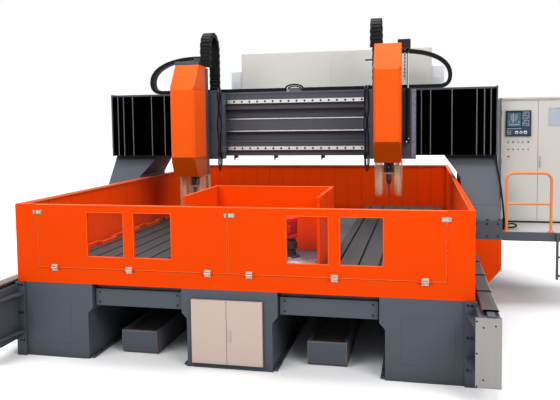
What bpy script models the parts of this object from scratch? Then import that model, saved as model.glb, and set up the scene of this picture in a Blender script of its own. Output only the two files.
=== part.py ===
"""Gantry drilling machine with two heads, at rest: metres, +Z up, operator's side towards -Y.

The origin is on the floor under the middle of the base. Distances called "behind" are measured
from the plane of the orange front panel, towards the back of the machine.
"""

import math

import bmesh
import bpy
from mathutils import Matrix, Vector

# Clearances, and how far a joined piece stands proud of its neighbour or runs into it
SEAT_GAP = 0.0003
RUNNING_CLEARANCE = 0.005
STEP = 0.004
BITE = 0.02
CUT_OVERRUN = 0.1

# Base blocks and the guard tub on them
TUB_WIDTH = 5.2
TUB_LENGTH = 7.09
BASE_HEIGHT = 0.885
GUARD_TOP = BASE_HEIGHT + 0.925
GUARD_SHEET = 0.03
GUARD_LIP = 0.025
FRONT_PANEL_THICKNESS = 0.04
CHANNEL_INNER_X = 0.49
CHANNEL_OUTER_X = 1.70
CHANNEL_LIP = 0.06
CHANNEL_LIP_LOW = BASE_HEIGHT - 0.34
CHANNEL_LIP_HIGH = BASE_HEIGHT - 0.275

# Floor sheet of the tub, with the girders that close the channel mouths
DECK_THICKNESS = 0.01
GIRDER_BOTTOM = BASE_HEIGHT - 0.255
GIRDER_FLANGE_TOP = BASE_HEIGHT - 0.06
GIRDER_SETBACK = 0.06
GIRDER_DEPTH = 0.10
GIRDER_WEB_SETBACK = 0.04
GIRDER_END_GAP = 0.015

# Work tables with T-slots
TABLE_WIDTH = 1.5
TABLE_WALL_GAP = 0.11
TABLE_FENCE_GAP = 0.094
TABLE_TOP = BASE_HEIGHT + 0.115
TABLE_FRONT = 0.35
TABLE_LENGTH = 6.4
SLOT_COUNT = 6
SLOT_WIDTH = 0.028
SLOT_NECK_DEPTH = 0.03
SLOT_FOOT_WIDTH = 0.056
SLOT_FOOT_HEIGHT = 0.022

# Fence inside the tub, open to the front
FENCE_FRONT = 1.0
FENCE_BACK = 2.404

# Drop-down doors of the front panel
DOOR_POST_WIDTH = 0.27
DOOR_SILL = BASE_HEIGHT + 0.176
DOOR_THICKNESS = 0.035
DOOR_MEETING_GAP = 0.006
WINDOW_INNER_X = 0.66
WINDOW_WIDTH = 0.445
WINDOW_SPACING = 0.575
WINDOW_LOW = DOOR_SILL + 0.149
WINDOW_HIGH = GUARD_TOP - 0.09
PANE_THICKNESS = 0.006
PANE_MARGIN = 0.035
DOOR_HINGE_PROUD = 0.012
DOOR_HINGE_RISE = 0.0025
HINGE_FIRST_X = 0.2375
HINGE_LAST_INSET = 0.2225
HINGE_COUNT = 3
KNUCKLE_RADIUS = 0.011
KNUCKLE_LENGTH = 0.04
KNUCKLE_GAP = 0.0005
KNUCKLE_ARM_INSET = 0.003

# Chip conveyors in the channels
CONVEYOR_CENTRE_X = {"left": -1.19, "right": 1.05}
CONVEYOR_WIDTH = 0.44
CONVEYOR_HEIGHT = 0.28
CONVEYOR_FRONT = 0.27
CONVEYOR_LENGTH = 7.0
CONVEYOR_RIM = 0.03
CONVEYOR_TRAY_DEPTH = 0.06
CONVEYOR_BEVEL = 0.045

# Low two-door cabinet let into the middle block
LOW_CABINET_CENTRE_X = -0.02
LOW_CABINET_WIDTH = 0.81
LOW_CABINET_BOTTOM = 0.06
LOW_CABINET_TOP = BASE_HEIGHT - 0.11
LOW_CABINET_DEPTH = 0.36
LOW_CABINET_PROUD = 0.012
LOW_CABINET_SHEET = 0.012
LOW_DOOR_THICKNESS = 0.02

# Side beds, their rails and the stepped covers over them
BED_INNER_X = 2.6
BED_WIDTH = 0.2
BED_BOTTOM = 0.2
BED_TOP = BASE_HEIGHT - 0.035
BED_OVERHANG = 0.5
BED_END = 8.6
BED_FOOT_COUNT = 6
BED_FOOT_LENGTH = 0.18
BED_FOOT_FIRST = 0.3
BED_FOOT_INSET = 0.02
BED_RAIL_WIDTH = 0.07
BED_RAIL_TOP = BASE_HEIGHT
END_PLATE_THICKNESS = 0.015
END_PLATE_TOP = BASE_HEIGHT - 0.015
BRACKET_INNER_X = 2.5
BRACKET_THICKNESS = 0.03
RIB_THICKNESS = 0.025
RIB_TOPS = (BED_BOTTOM + 0.11, BED_TOP - 0.09)
RIB_FRONT_X = 2.565
COVER_WIDTH = 0.16
COVER_CENTRE_X = 2.715
COVER_LOW_TOP = BASE_HEIGHT + 0.02
COVER_STEP = 0.012
COVER_SECTIONS = 5
COVER_FRONT_END = -0.34

# Gantry legs
FOOT_FRONT = 3.2
FOOT_LENGTH = 2.0
FOOT_INNER_X = 2.64
FOOT_OUTER_X = 3.22
FOOT_BOTTOM = BASE_HEIGHT + 0.085
FOOT_TOP = FOOT_BOTTOM + 0.28
SHOE_LENGTH = 0.4
SHOE_INSET = 0.05
APRON_THICKNESS = 0.03
LEG_INNER_X = 2.66
LEG_OUTER_X = 3.21
HAUNCH_INNER_X = 2.42
HAUNCH_LOW = 1.84
LEG_TOP_FRONT = 4.02
LEG_TOP_BACK = 4.72
LEG_LOW_FRONT = 3.3
LEG_LOW_BACK = 5.1

# Drive guards under the feet
DRIVE_GUARD_INNER_X = 2.82
DRIVE_GUARD_BOTTOM = 0.33
DRIVE_GUARD_CHAMFER_X = 0.17
DRIVE_GUARD_CHAMFER_Z = 0.2
DRIVE_GUARD_LENGTH = 1.2

# Cross beam with its rails
BEAM_FRONT = 3.95
BEAM_DEPTH = 0.8
BEAM_BOTTOM = 2.17
BEAM_TOP = 3.235
BEAM_HALF_LENGTH = 3.2
BEAM_RAIL_REACH = 0.065
BEAM_RAIL_HEIGHT = 0.06
LOWER_RAIL_Z = 2.295
UPPER_RAIL_Z = 3.075
RECESS_DEPTH = 0.12
RECESS_LOW = 2.42
RECESS_HIGH = 2.95
RACK_LOW = 2.575
RACK_HIGH = 2.795
RACK_REACH = 0.08
END_STOP_THICKNESS = 0.02
END_STOP_REACH = 0.12

# Bellows in front of the beam rails
BELLOWS_FRONT = 3.83
BELLOWS_BACK = 3.875
BELLOWS_BOTTOM = 2.18
BELLOWS_TOP = 3.2
BELLOWS_PLEATS = 18
BELLOWS_SKIN = 0.012

# Heads: where each stands at rest, and how high its ram is above the lowest place
HEAD_X = {"left": -1.53, "right": 1.585}
RAM_RISE = {"left": 0.29, "right": 0.51}
HEAD_OUTWARD = {"left": -1, "right": 1}

# Saddle
SADDLE_WIDTH = 0.8
SADDLE_FRONT = 3.62
SADDLE_BOTTOM = 2.13
SADDLE_TOP = 3.225
CARRIAGE_LENGTH = 0.2
CARRIAGE_HEIGHT = 0.12
CARRIAGE_CENTRE_X = 0.25
RAM_RAIL_CENTRE_X = 0.12
RAM_RAIL_WIDTH = 0.04
RAM_RAIL_DEPTH = 0.035
MAST_HALF_WIDTH = 0.08
MAST_DEPTH = 0.14
MAST_TOP = 3.805
CHAIN_SHELF_HEIGHT = 0.015

# Ram with its orange cover
RAM_LOWEST_BOTTOM = 1.60
COVER_HALF_WIDTH = 0.195
COVER_FRONT = 2.8
COVER_BACK = 3.38
COVER_HEIGHT = 1.75
COVER_CHIN_HEIGHT = 0.31
COVER_CHIN_DEPTH = 0.15
COVER_CHIN_RADIUS = 0.05
COVER_BROW_HEIGHT = 0.40
COVER_BROW_DEPTH = 0.28
COVER_EDGE_CHAMFER = 0.035
SLIDE_HALF_WIDTH = 0.18
SLIDE_DROP = 0.02
HEAD_BOX_INNER_X = {"left": -0.09, "right": 0.13}
HEAD_BOX_OUTER_X = 0.32
HEAD_BOX_FRONT = 3.40
HEAD_BOX_HEIGHT = 0.13

# Balance cylinder beside each ram
CYLINDER_X = 0.28
CYLINDER_BEHIND = 3.53
BARREL_RADIUS = 0.03
BARREL_BORE = 0.02
BARREL_BOTTOM = 2.38
BARREL_TOP = 3.22
BARREL_FLOOR = 0.02
ROD_RADIUS = 0.013
ROD_END_ABOVE_LOWEST = 2.45
CLAMP_WIDTH = 0.04
CLAMP_HEIGHT = 0.05
CLAMP_LOW_Z = 2.45
CLAMP_HIGH_Z = 3.1

# Spindle, drill and clear guard under each ram
SPINDLE_BEHIND = 3.38
GUARD_HALF_WIDTH = 0.2
GUARD_FRONT = 3.19
GUARD_BACK = 3.57
GUARD_WALL = 0.005
GUARD_DROP = 0.52
HOLDER_RADIUS = 0.085
HOLDER_LENGTH = 0.19
CHUCK_RADIUS = 0.042
CHUCK_NOSE_RADIUS = 0.03
CHUCK_COLLAR = 0.02
CHUCK_LENGTH = 0.165
DRILL_RADIUS = 0.012
DRILL_LENGTH = 0.17
DRILL_POINT = 0.015

# Cable chains
LINK_PITCH = 0.1
LINK_GAP = 0.028
LINK_NOTCH = 0.01
BEAM_CHAIN_THICKNESS = 0.06
BEAM_CHAIN_WIDTH = 0.17
BEAM_CHAIN_SETBACK = 0.03
BEAM_CHAIN_FIXED_X = 0.15
BEAM_CHAIN_BEND_X = 2.54
BEAM_CHAIN_LOW_TURN_X = 2.33
BEAM_CHAIN_BEND_SHARE = 0.31
BEAM_CHAIN_BEND_PULL = 0.68
BEAM_CHAIN_UPPER_PULL = 0.4
BEAM_CHAIN_LOWER_PULL = 0.13
RAM_CHAIN_X = 0.2
RAM_CHAIN_WIDTH = 0.17
RAM_CHAIN_THICKNESS = 0.08
RAM_CHAIN_NEAR = 3.42
RAM_CHAIN_FAR = 3.9
RAM_CHAIN_LOWEST_TOP = RAM_LOWEST_BOTTOM + COVER_HEIGHT + 0.715

# Electrical cabinet behind the beam, with a cooler at each end
REAR_CABINET_LEFT_X = -1.09
REAR_CABINET_RIGHT_X = 2.237
REAR_CABINET_BOTTOM = 2.6
REAR_CABINET_TOP = 3.95
REAR_CABINET_DEPTH = 0.45
COOLER_WIDTH = 0.2
COOLER_BOTTOM = 3.31
COOLER_HEIGHT = 0.33
COOLER_DEPTH = 0.3

# Operator's platform, ladder and handrail
PLATFORM_FRONT = 3.2
PLATFORM_DEPTH = 1.55
PLATFORM_WIDTH = 1.23
PLATFORM_BOTTOM = FOOT_BOTTOM - 0.01
PLATFORM_TOP = PLATFORM_BOTTOM + 0.125
PLATFORM_PLATE = 0.01
PLATFORM_RIM = 0.012
LADDER_LEFT_X = 3.95
LADDER_WIDTH = 0.45
LADDER_BOTTOM = PLATFORM_BOTTOM - 0.54
STRINGER_WIDTH = 0.03
STRINGER_DEPTH = 0.05
RUNG_COUNT = 2
RUNG_SPACING = 0.27
RUNG_RADIUS = 0.015
RAIL_LEFT_X = 3.28
RAIL_RIGHT_X = 3.89
RAIL_SETBACK = 0.06
RAIL_TOP = PLATFORM_TOP + 0.858
RAIL_MIDDLE = PLATFORM_TOP + 0.41
RAIL_RADIUS = 0.02
MIDDLE_RAIL_RADIUS = 0.016
RAIL_BEND = 0.1
RAIL_FLANGE_RADIUS = 0.045
RAIL_FLANGE_THICKNESS = 0.012

# Control cabinet on the platform
CONTROL_LEFT_X = 3.30
CONTROL_WIDTH = 1.09
CONTROL_FRONT = 4.2
CONTROL_DEPTH = 0.5
CONTROL_TOP = PLATFORM_TOP + 1.975
CONTROL_SHEET = 0.02
CONTROL_DOOR_THICKNESS = 0.02
CONTROL_HOOD_HEIGHT = 0.045
CONTROL_PLINTH = 0.03
PANEL_LEFT_X = 3.36
PANEL_WIDTH = 0.38
PANEL_BOTTOM = PLATFORM_TOP + 1.37
PANEL_HEIGHT = 0.405
PANEL_PROUD = 0.025

# Cable from the end of the beam down to the platform
CABLE_RADIUS = 0.014
CABLE_START = (3.2, 3.90)
CABLE_BENDS = ((3.205, 3.86, 2.02), (3.23, 3.62, 1.75), (3.25, 3.50, 1.5), (3.265, 3.46, 1.32))
CABLE_START_PULL = 0.2
CABLE_END_PULL = 0.1
GLAND_WIDTH = 0.065
GLAND_DEPTH = 0.1
GLAND_TOP = PLATFORM_TOP + 0.115
GLAND_FRONT = 3.4
GLAND_LEFT_X = 3.235

# Orange conduit beside the left leg
CONDUIT_X = 3.245
CONDUIT_RADIUS = 0.02
CONDUIT_SETBACK = 0.05
CONDUIT_ELBOW = 0.08

FRONT_Y = -TUB_LENGTH / 2
TUB_HALF = TUB_WIDTH / 2
DOOR_OPENING_HALF = TUB_HALF - DOOR_POST_WIDTH
TABLE_CENTRE_X = TUB_HALF - GUARD_SHEET - TABLE_WALL_GAP - TABLE_WIDTH / 2
FENCE_HALF_WIDTH = TABLE_CENTRE_X - TABLE_WIDTH / 2 - TABLE_FENCE_GAP
SIDES = (("left", -1), ("right", 1))


def behind(distance):
    """The world Y of a distance behind the front panel's plane."""
    return FRONT_Y + distance


# Scene, collections and materials

for old in list(bpy.data.objects):
    bpy.data.objects.remove(old, do_unlink=True)

machine = bpy.data.collections.new("gantry_drilling_machine")
bpy.context.scene.collection.children.link(machine)
helpers = bpy.data.collections.new("cutters")
bpy.context.scene.collection.children.link(helpers)
helpers.hide_render = True


def paint(name, colour, roughness, metallic=0.0, alpha=1.0):
    made = bpy.data.materials.new(name)
    made.use_nodes = True
    shader = made.node_tree.nodes["Principled BSDF"]
    shader.inputs["Base Color"].default_value = (*colour, 1.0)
    shader.inputs["Roughness"].default_value = roughness
    shader.inputs["Metallic"].default_value = metallic
    shader.inputs["Alpha"].default_value = alpha
    return made


GREY = paint("grey_paint", (0.09, 0.10, 0.125), 0.55)
ORANGE = paint("orange_paint", (0.95, 0.09, 0.005), 0.4)
BEIGE = paint("beige_paint", (0.62, 0.57, 0.50), 0.5)
STEEL = paint("bright_steel", (0.55, 0.54, 0.52), 0.3, 1.0)
IRON = paint("ground_cast_iron", (0.32, 0.33, 0.35), 0.4, 0.9)
BLACK = paint("black_plastic", (0.012, 0.012, 0.014), 0.6)
CLEAR = paint("clear_sheet", (0.85, 0.88, 0.85), 0.08, 0.0, 0.3)


# Shape helpers


def keep(obj, material, collection=machine):
    """Puts an object in its collection, with its material."""
    for home in list(obj.users_collection):
        home.objects.unlink(obj)
    collection.objects.link(obj)
    obj.data.materials.clear()
    obj.data.materials.append(material)
    return obj


def block(name, low, high, material, collection=machine):
    """A box between two corners, with its scale applied."""
    low, high = Vector(low), Vector(high)
    mesh = bpy.data.meshes.new(name)
    shape = bmesh.new()
    bmesh.ops.create_cube(shape, size=1.0)
    bmesh.ops.scale(shape, vec=high - low, verts=shape.verts)
    shape.to_mesh(mesh)
    shape.free()
    obj = bpy.data.objects.new(name, mesh)
    obj.location = (low + high) / 2
    return keep(obj, material, collection)


def round_bar(name, radius, start, end, material, collection=machine, sides=20):
    """A straight cylinder between two points."""
    start, end = Vector(start), Vector(end)
    mesh = bpy.data.meshes.new(name)
    shape = bmesh.new()
    bmesh.ops.create_cone(
        shape, cap_ends=True, segments=sides, radius1=radius, radius2=radius, depth=(end - start).length
    )
    shape.to_mesh(mesh)
    shape.free()
    mesh.shade_smooth()
    mesh.set_sharp_from_angle(angle=math.radians(40))
    obj = bpy.data.objects.new(name, mesh)
    obj.location = (start + end) / 2
    obj.rotation_euler = (end - start).to_track_quat("Z", "Y").to_euler()
    return keep(obj, material, collection)


def as_mesh(curve_object, material, collection):
    """The evaluated curve as a closed mesh object of the same name and place."""
    bpy.context.scene.collection.objects.link(curve_object)
    bpy.context.view_layer.update()
    graph = bpy.context.evaluated_depsgraph_get()
    mesh = bpy.data.meshes.new_from_object(curve_object.evaluated_get(graph))
    place = curve_object.matrix_world.copy()
    name = curve_object.name
    bpy.data.objects.remove(curve_object, do_unlink=True)
    shape = bmesh.new()
    shape.from_mesh(mesh)
    bmesh.ops.remove_doubles(shape, verts=shape.verts, dist=1e-5)
    bmesh.ops.holes_fill(shape, edges=shape.edges, sides=0)
    bmesh.ops.recalc_face_normals(shape, faces=shape.faces)
    shape.to_mesh(mesh)
    shape.free()
    mesh.name = name
    obj = bpy.data.objects.new(name, mesh)
    obj.matrix_world = place
    return keep(obj, material, collection)


AXES_OF_OUTLINE = {
    "X": Matrix(((0, 0, 1), (1, 0, 0), (0, 1, 0))),
    "Y": Matrix(((1, 0, 0), (0, 0, -1), (0, 1, 0))),
    "Z": Matrix.Identity(3),
}


def profile(name, outline, along, start, end, material, collection=machine, fill="BOTH"):
    """A flat outline, in the two axes across "along" in X, Y, Z order, extruded from start to end.

    A long toothed outline has fill "NONE": its two ends are then closed by one face each.
    """
    curve = bpy.data.curves.new(name, "CURVE")
    curve.dimensions = "2D"
    curve.fill_mode = fill
    curve.extrude = (end - start) / 2
    spline = curve.splines.new("POLY")
    spline.points.add(len(outline) - 1)
    for point, (across, up) in zip(spline.points, outline):
        point.co = (across, up, 0.0, 1.0)
    spline.use_cyclic_u = True
    obj = bpy.data.objects.new(name, curve)
    middle = (start + end) / 2
    place = AXES_OF_OUTLINE[along].to_4x4()
    place.translation = {"X": (middle, 0, 0), "Y": (0, middle, 0), "Z": (0, 0, middle)}[along]
    obj.matrix_world = place
    return as_mesh(obj, material, collection)


def tube(name, points, radius, material, collection=machine, resolution=3):
    """A round tube with filled caps along straight stretches between points."""
    curve = bpy.data.curves.new(name, "CURVE")
    curve.dimensions = "3D"
    curve.bevel_depth = radius
    curve.bevel_resolution = resolution
    curve.use_fill_caps = True
    spline = curve.splines.new("POLY")
    spline.points.add(len(points) - 1)
    for point, place in zip(spline.points, points):
        point.co = (*place, 1.0)
    made = as_mesh(bpy.data.objects.new(name, curve), material, collection)
    made.data.shade_smooth()
    made.data.set_sharp_from_angle(angle=math.radians(50))
    return made


def turned(name, outline, centre, material, collection=machine, steps=28):
    """A profile of (radius, height) points, listed top to bottom, turned about a vertical axis."""
    mesh = bpy.data.meshes.new(name)
    shape = bmesh.new()
    rim = [shape.verts.new((radius, 0.0, height)) for radius, height in outline]
    for upper, lower in zip(rim, rim[1:]):
        shape.edges.new((upper, lower))
    shape.to_mesh(mesh)
    shape.free()
    obj = bpy.data.objects.new(name, mesh)
    obj.location = centre
    screw = obj.modifiers.new("turn", "SCREW")
    screw.steps = steps
    screw.render_steps = steps
    screw.use_merge_vertices = True
    screw.merge_threshold = 0.00005
    screw.use_smooth_shade = True
    return keep(obj, material, collection)


def combine(obj, operation, others):
    for other in others:
        keep(other, obj.data.materials[0], helpers)
        other.hide_render = True
        other.display_type = "WIRE"
        step = obj.modifiers.new(other.name, "BOOLEAN")
        step.operation = operation
        step.object = other
    return obj


def join(obj, *others):
    return combine(obj, "UNION", others)


def cut(obj, *others):
    return combine(obj, "DIFFERENCE", others)


def spread(low, high, sign):
    """The two X limits of a piece on the side that the sign gives."""
    return (low, high) if sign > 0 else (-high, -low)


def mirrored(outline, sign):
    """An outline whose first axis is X, moved to the side that the sign gives."""
    placed = [(across * sign, up) for across, up in outline]
    return placed if sign > 0 else placed[::-1]


def pivot(name, place):
    """An empty on a joint's axis."""
    empty = bpy.data.objects.new(name, None)
    empty.location = place
    machine.objects.link(empty)
    return empty


def ride_on(empty, *pieces):
    """Parents pieces to an empty and leaves them where they are."""
    bpy.context.view_layer.update()
    for piece in pieces:
        piece.parent = empty
        piece.matrix_parent_inverse = empty.matrix_world.inverted()


# Base blocks, with the low cabinet's pocket in the middle one

def base_block(name, outline):
    return profile(name, outline, "Y", behind(0), behind(TUB_LENGTH), GREY)


middle_outline = [
    (-CHANNEL_INNER_X, 0), (CHANNEL_INNER_X, 0), (CHANNEL_INNER_X, CHANNEL_LIP_LOW),
    (CHANNEL_INNER_X + CHANNEL_LIP, CHANNEL_LIP_HIGH), (CHANNEL_INNER_X + CHANNEL_LIP, BASE_HEIGHT),
    (-CHANNEL_INNER_X - CHANNEL_LIP, BASE_HEIGHT), (-CHANNEL_INNER_X - CHANNEL_LIP, CHANNEL_LIP_HIGH),
    (-CHANNEL_INNER_X, CHANNEL_LIP_LOW),
]
side_outline = [
    (CHANNEL_OUTER_X, 0), (TUB_HALF, 0), (TUB_HALF, BASE_HEIGHT),
    (CHANNEL_OUTER_X - CHANNEL_LIP, BASE_HEIGHT), (CHANNEL_OUTER_X - CHANNEL_LIP, CHANNEL_LIP_HIGH),
    (CHANNEL_OUTER_X, CHANNEL_LIP_LOW),
]
middle_base_block = base_block("middle_base_block", middle_outline)
for side, sign in SIDES:
    base_block(f"{side}_base_block", mirrored(side_outline, sign))

low_left = LOW_CABINET_CENTRE_X - LOW_CABINET_WIDTH / 2
low_right = LOW_CABINET_CENTRE_X + LOW_CABINET_WIDTH / 2
low_back = behind(LOW_CABINET_DEPTH)
cut(
    middle_base_block,
    block(
        "cabinet_pocket",
        (low_left - SEAT_GAP, behind(-CUT_OVERRUN), LOW_CABINET_BOTTOM - SEAT_GAP),
        (low_right + SEAT_GAP, low_back + SEAT_GAP, LOW_CABINET_TOP + SEAT_GAP),
        GREY,
    ),
)

# Low cabinet and its two doors

low_cabinet_box = block(
    "low_cabinet_box",
    (low_left, behind(-LOW_CABINET_PROUD), LOW_CABINET_BOTTOM),
    (low_right, low_back, LOW_CABINET_TOP),
    BEIGE,
)
cut(
    low_cabinet_box,
    block(
        "low_cabinet_hollow",
        (low_left + LOW_CABINET_SHEET, behind(-CUT_OVERRUN), LOW_CABINET_BOTTOM + LOW_CABINET_SHEET),
        (low_right - LOW_CABINET_SHEET, low_back - LOW_CABINET_SHEET, LOW_CABINET_TOP - LOW_CABINET_SHEET),
        BEIGE,
    ),
)


def hinged_leaf(name, x_limits, back, thickness, z_limits, hinge_x, material):
    """A door leaf before a front at "back", with a full-height hinge strip that reaches the cabinet."""
    face = back - RUNNING_CLEARANCE
    front = face - thickness
    leaf = block(name, (x_limits[0], front, z_limits[0]), (x_limits[1], face, z_limits[1]), material)
    strip_half = RUNNING_CLEARANCE / 2
    towards_leaf = 1 if hinge_x < sum(x_limits) / 2 else -1
    strip_x = hinge_x + towards_leaf * RUNNING_CLEARANCE
    strip = block(
        f"{name}_hinge",
        (strip_x - strip_half, face - thickness / 2, z_limits[0] + thickness),
        (strip_x + strip_half, back - SEAT_GAP, z_limits[1] - thickness),
        material,
    )
    join(leaf, strip)
    ride_on(pivot(f"{name}_pivot", (hinge_x, back - SEAT_GAP, sum(z_limits) / 2)), leaf)
    return leaf


low_middle = LOW_CABINET_CENTRE_X
low_door_z = (LOW_CABINET_BOTTOM, LOW_CABINET_TOP)
hinged_leaf(
    "low_cabinet_left_door", (low_left, low_middle - RUNNING_CLEARANCE / 2), behind(-LOW_CABINET_PROUD),
    LOW_DOOR_THICKNESS, low_door_z, low_left, BEIGE,
)
hinged_leaf(
    "low_cabinet_right_door", (low_middle + RUNNING_CLEARANCE / 2, low_right), behind(-LOW_CABINET_PROUD),
    LOW_DOOR_THICKNESS, low_door_z, low_right, BEIGE,
)

# Floor sheet of the tub, with a girder across each end of each channel

deck_bottom = BASE_HEIGHT + SEAT_GAP
deck_top = deck_bottom + DECK_THICKNESS
wall_inner = TUB_HALF - GUARD_SHEET
tub_floor = block(
    "tub_floor",
    (-wall_inner + SEAT_GAP, behind(FRONT_PANEL_THICKNESS + SEAT_GAP), deck_bottom),
    (wall_inner - SEAT_GAP, behind(TUB_LENGTH - GUARD_SHEET - SEAT_GAP), deck_top),
    GREY,
)
girder_outline = [
    (0, GIRDER_BOTTOM), (GIRDER_DEPTH, GIRDER_BOTTOM), (GIRDER_DEPTH, deck_top - DECK_THICKNESS / 2),
    (GIRDER_WEB_SETBACK, deck_top - DECK_THICKNESS / 2), (GIRDER_WEB_SETBACK, GIRDER_FLANGE_TOP),
    (0, GIRDER_FLANGE_TOP),
]
girder_inner = CHANNEL_INNER_X + CHANNEL_LIP + GIRDER_END_GAP
girder_outer = CHANNEL_OUTER_X - CHANNEL_LIP - GIRDER_END_GAP
for side, sign in SIDES:
    girder_x = spread(girder_inner, girder_outer, sign)
    front_outline = [(behind(GIRDER_SETBACK + y), z) for y, z in girder_outline]
    back_outline = [(behind(TUB_LENGTH - GIRDER_SETBACK - y), z) for y, z in girder_outline][::-1]
    join(
        tub_floor,
        profile(f"{side}_front_girder", front_outline, "X", *girder_x, GREY, helpers),
        profile(f"{side}_back_girder", back_outline, "X", *girder_x, GREY, helpers),
    )

# Work tables


def table_outline(centre):
    """The table's section: a slab with T-slots cut in its top."""
    bottom = deck_top + SEAT_GAP
    half = TABLE_WIDTH / 2
    neck = TABLE_TOP - SLOT_NECK_DEPTH
    foot = neck - SLOT_FOOT_HEIGHT
    pitch = TABLE_WIDTH / SLOT_COUNT
    left, right = centre - half, centre + half
    points = [(left, TABLE_TOP), (left, bottom), (right, bottom), (right, TABLE_TOP)]
    for slot in reversed(range(SLOT_COUNT)):
        middle = left + pitch * (slot + 0.5)
        points += [
            (middle + SLOT_WIDTH / 2, TABLE_TOP), (middle + SLOT_WIDTH / 2, neck),
            (middle + SLOT_FOOT_WIDTH / 2, neck), (middle + SLOT_FOOT_WIDTH / 2, foot),
            (middle - SLOT_FOOT_WIDTH / 2, foot), (middle - SLOT_FOOT_WIDTH / 2, neck),
            (middle - SLOT_WIDTH / 2, neck), (middle - SLOT_WIDTH / 2, TABLE_TOP),
        ]
    return points


for side, sign in SIDES:
    profile(
        f"{side}_work_table", table_outline(sign * TABLE_CENTRE_X), "Y",
        behind(TABLE_FRONT), behind(TABLE_FRONT + TABLE_LENGTH), IRON,
    )

# Guard walls with a folded lip along the top

wall_bottom = BASE_HEIGHT + SEAT_GAP
lip_outline = [
    (0, wall_bottom), (GUARD_SHEET, wall_bottom), (GUARD_SHEET, GUARD_TOP - GUARD_LIP),
    (GUARD_SHEET + GUARD_LIP, GUARD_TOP - GUARD_LIP), (GUARD_SHEET + GUARD_LIP, GUARD_TOP), (0, GUARD_TOP),
]
side_wall_outline = [(TUB_HALF - inward, z) for inward, z in lip_outline][::-1]
back_wall_outline = [(behind(TUB_LENGTH - inward), z) for inward, z in lip_outline][::-1]
side_wall_back = TUB_LENGTH - GUARD_SHEET - GUARD_LIP - SEAT_GAP
for side, sign in SIDES:
    profile(
        f"{side}_guard_wall", mirrored(side_wall_outline, sign), "Y",
        behind(FRONT_PANEL_THICKNESS + SEAT_GAP), behind(side_wall_back), ORANGE,
    )
profile("back_guard_wall", back_wall_outline, "X", -TUB_HALF, TUB_HALF, ORANGE)

# Front panel: a fixed strip and two posts round the doors, with the fixed knuckles of the door hinges

hinge_y = behind(-DOOR_HINGE_PROUD)
hinge_z = DOOR_SILL + DOOR_HINGE_RISE
hinge_spacing = (DOOR_OPENING_HALF - HINGE_LAST_INSET - HINGE_FIRST_X) / (HINGE_COUNT - 1)
hinge_places = [HINGE_FIRST_X + hinge_spacing * place for place in range(HINGE_COUNT)]
frame_outline = [
    (-TUB_HALF, wall_bottom), (TUB_HALF, wall_bottom), (TUB_HALF, GUARD_TOP), (DOOR_OPENING_HALF, GUARD_TOP),
    (DOOR_OPENING_HALF, DOOR_SILL), (-DOOR_OPENING_HALF, DOOR_SILL), (-DOOR_OPENING_HALF, GUARD_TOP),
    (-TUB_HALF, GUARD_TOP),
]
front_panel_frame = profile(
    "front_panel_frame", frame_outline, "Y", behind(0), behind(FRONT_PANEL_THICKNESS), ORANGE
)


def knuckle(name, centre_x, length, arm_z):
    """A hinge knuckle on the door axis, with the arm that holds it at one height range of the panel."""
    half = length / 2
    ends = [(centre_x + end, hinge_y, hinge_z) for end in (-half, half)]
    barrel = round_bar(name, KNUCKLE_RADIUS, *ends, ORANGE, helpers, sides=12)
    arm_half = half - KNUCKLE_ARM_INSET
    arm = block(
        f"{name}_arm",
        (centre_x - arm_half, hinge_y - KNUCKLE_ARM_INSET, arm_z[0]),
        (centre_x + arm_half, behind(BITE / 2), arm_z[1]),
        ORANGE, helpers,
    )
    return barrel, arm


for side, sign in SIDES:
    for number, place in enumerate(hinge_places, 1):
        low_arm = (hinge_z - 2 * KNUCKLE_RADIUS, hinge_z - RUNNING_CLEARANCE)
        name = f"{side}_fixed_knuckle_{number}"
        join(front_panel_frame, *knuckle(name, sign * place, KNUCKLE_LENGTH, low_arm))

# Drop-down doors with their window panes

window_edges = [WINDOW_INNER_X + WINDOW_SPACING * place for place in range(2)]
door_low = DOOR_SILL + RUNNING_CLEARANCE
door_outline = [
    (DOOR_MEETING_GAP / 2, door_low), (DOOR_OPENING_HALF - RUNNING_CLEARANCE, door_low),
    (DOOR_OPENING_HALF - RUNNING_CLEARANCE, GUARD_TOP), (DOOR_MEETING_GAP / 2, GUARD_TOP),
]

for side, sign in SIDES:
    outline = mirrored(door_outline, sign)
    door = profile(f"{side}_front_door", outline, "Y", behind(0), behind(DOOR_THICKNESS), ORANGE)
    for number, edge in enumerate(window_edges, 1):
        hole_x = spread(edge, edge + WINDOW_WIDTH, sign)
        cut(
            door,
            block(f"{side}_window_{number}", (hole_x[0], behind(-BITE), WINDOW_LOW),
                  (hole_x[1], behind(DOOR_THICKNESS + BITE), WINDOW_HIGH), ORANGE),
        )
    high_arm = (hinge_z + RUNNING_CLEARANCE, hinge_z + 2.5 * KNUCKLE_RADIUS)
    offset = KNUCKLE_LENGTH + KNUCKLE_GAP
    for number, place in enumerate(hinge_places, 1):
        for end in (-1, 1):
            label = f"{side}_door_knuckle_{number}_{'inner' if end < 0 else 'outer'}"
            join(door, *knuckle(label, sign * place + end * offset, KNUCKLE_LENGTH, high_arm))
    pane_x = spread(WINDOW_INNER_X - PANE_MARGIN, window_edges[1] + WINDOW_WIDTH + PANE_MARGIN, sign)
    pane_front = behind(DOOR_THICKNESS + SEAT_GAP)
    pane = block(
        f"{side}_door_window",
        (pane_x[0], pane_front, WINDOW_LOW - PANE_MARGIN),
        (pane_x[1], pane_front + PANE_THICKNESS, WINDOW_HIGH + PANE_MARGIN),
        CLEAR,
    )
    ride_on(pivot(f"{side}_front_door_pivot", (sign * DOOR_OPENING_HALF / 2, hinge_y, hinge_z)), door, pane)

# Fence inside the tub

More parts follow.
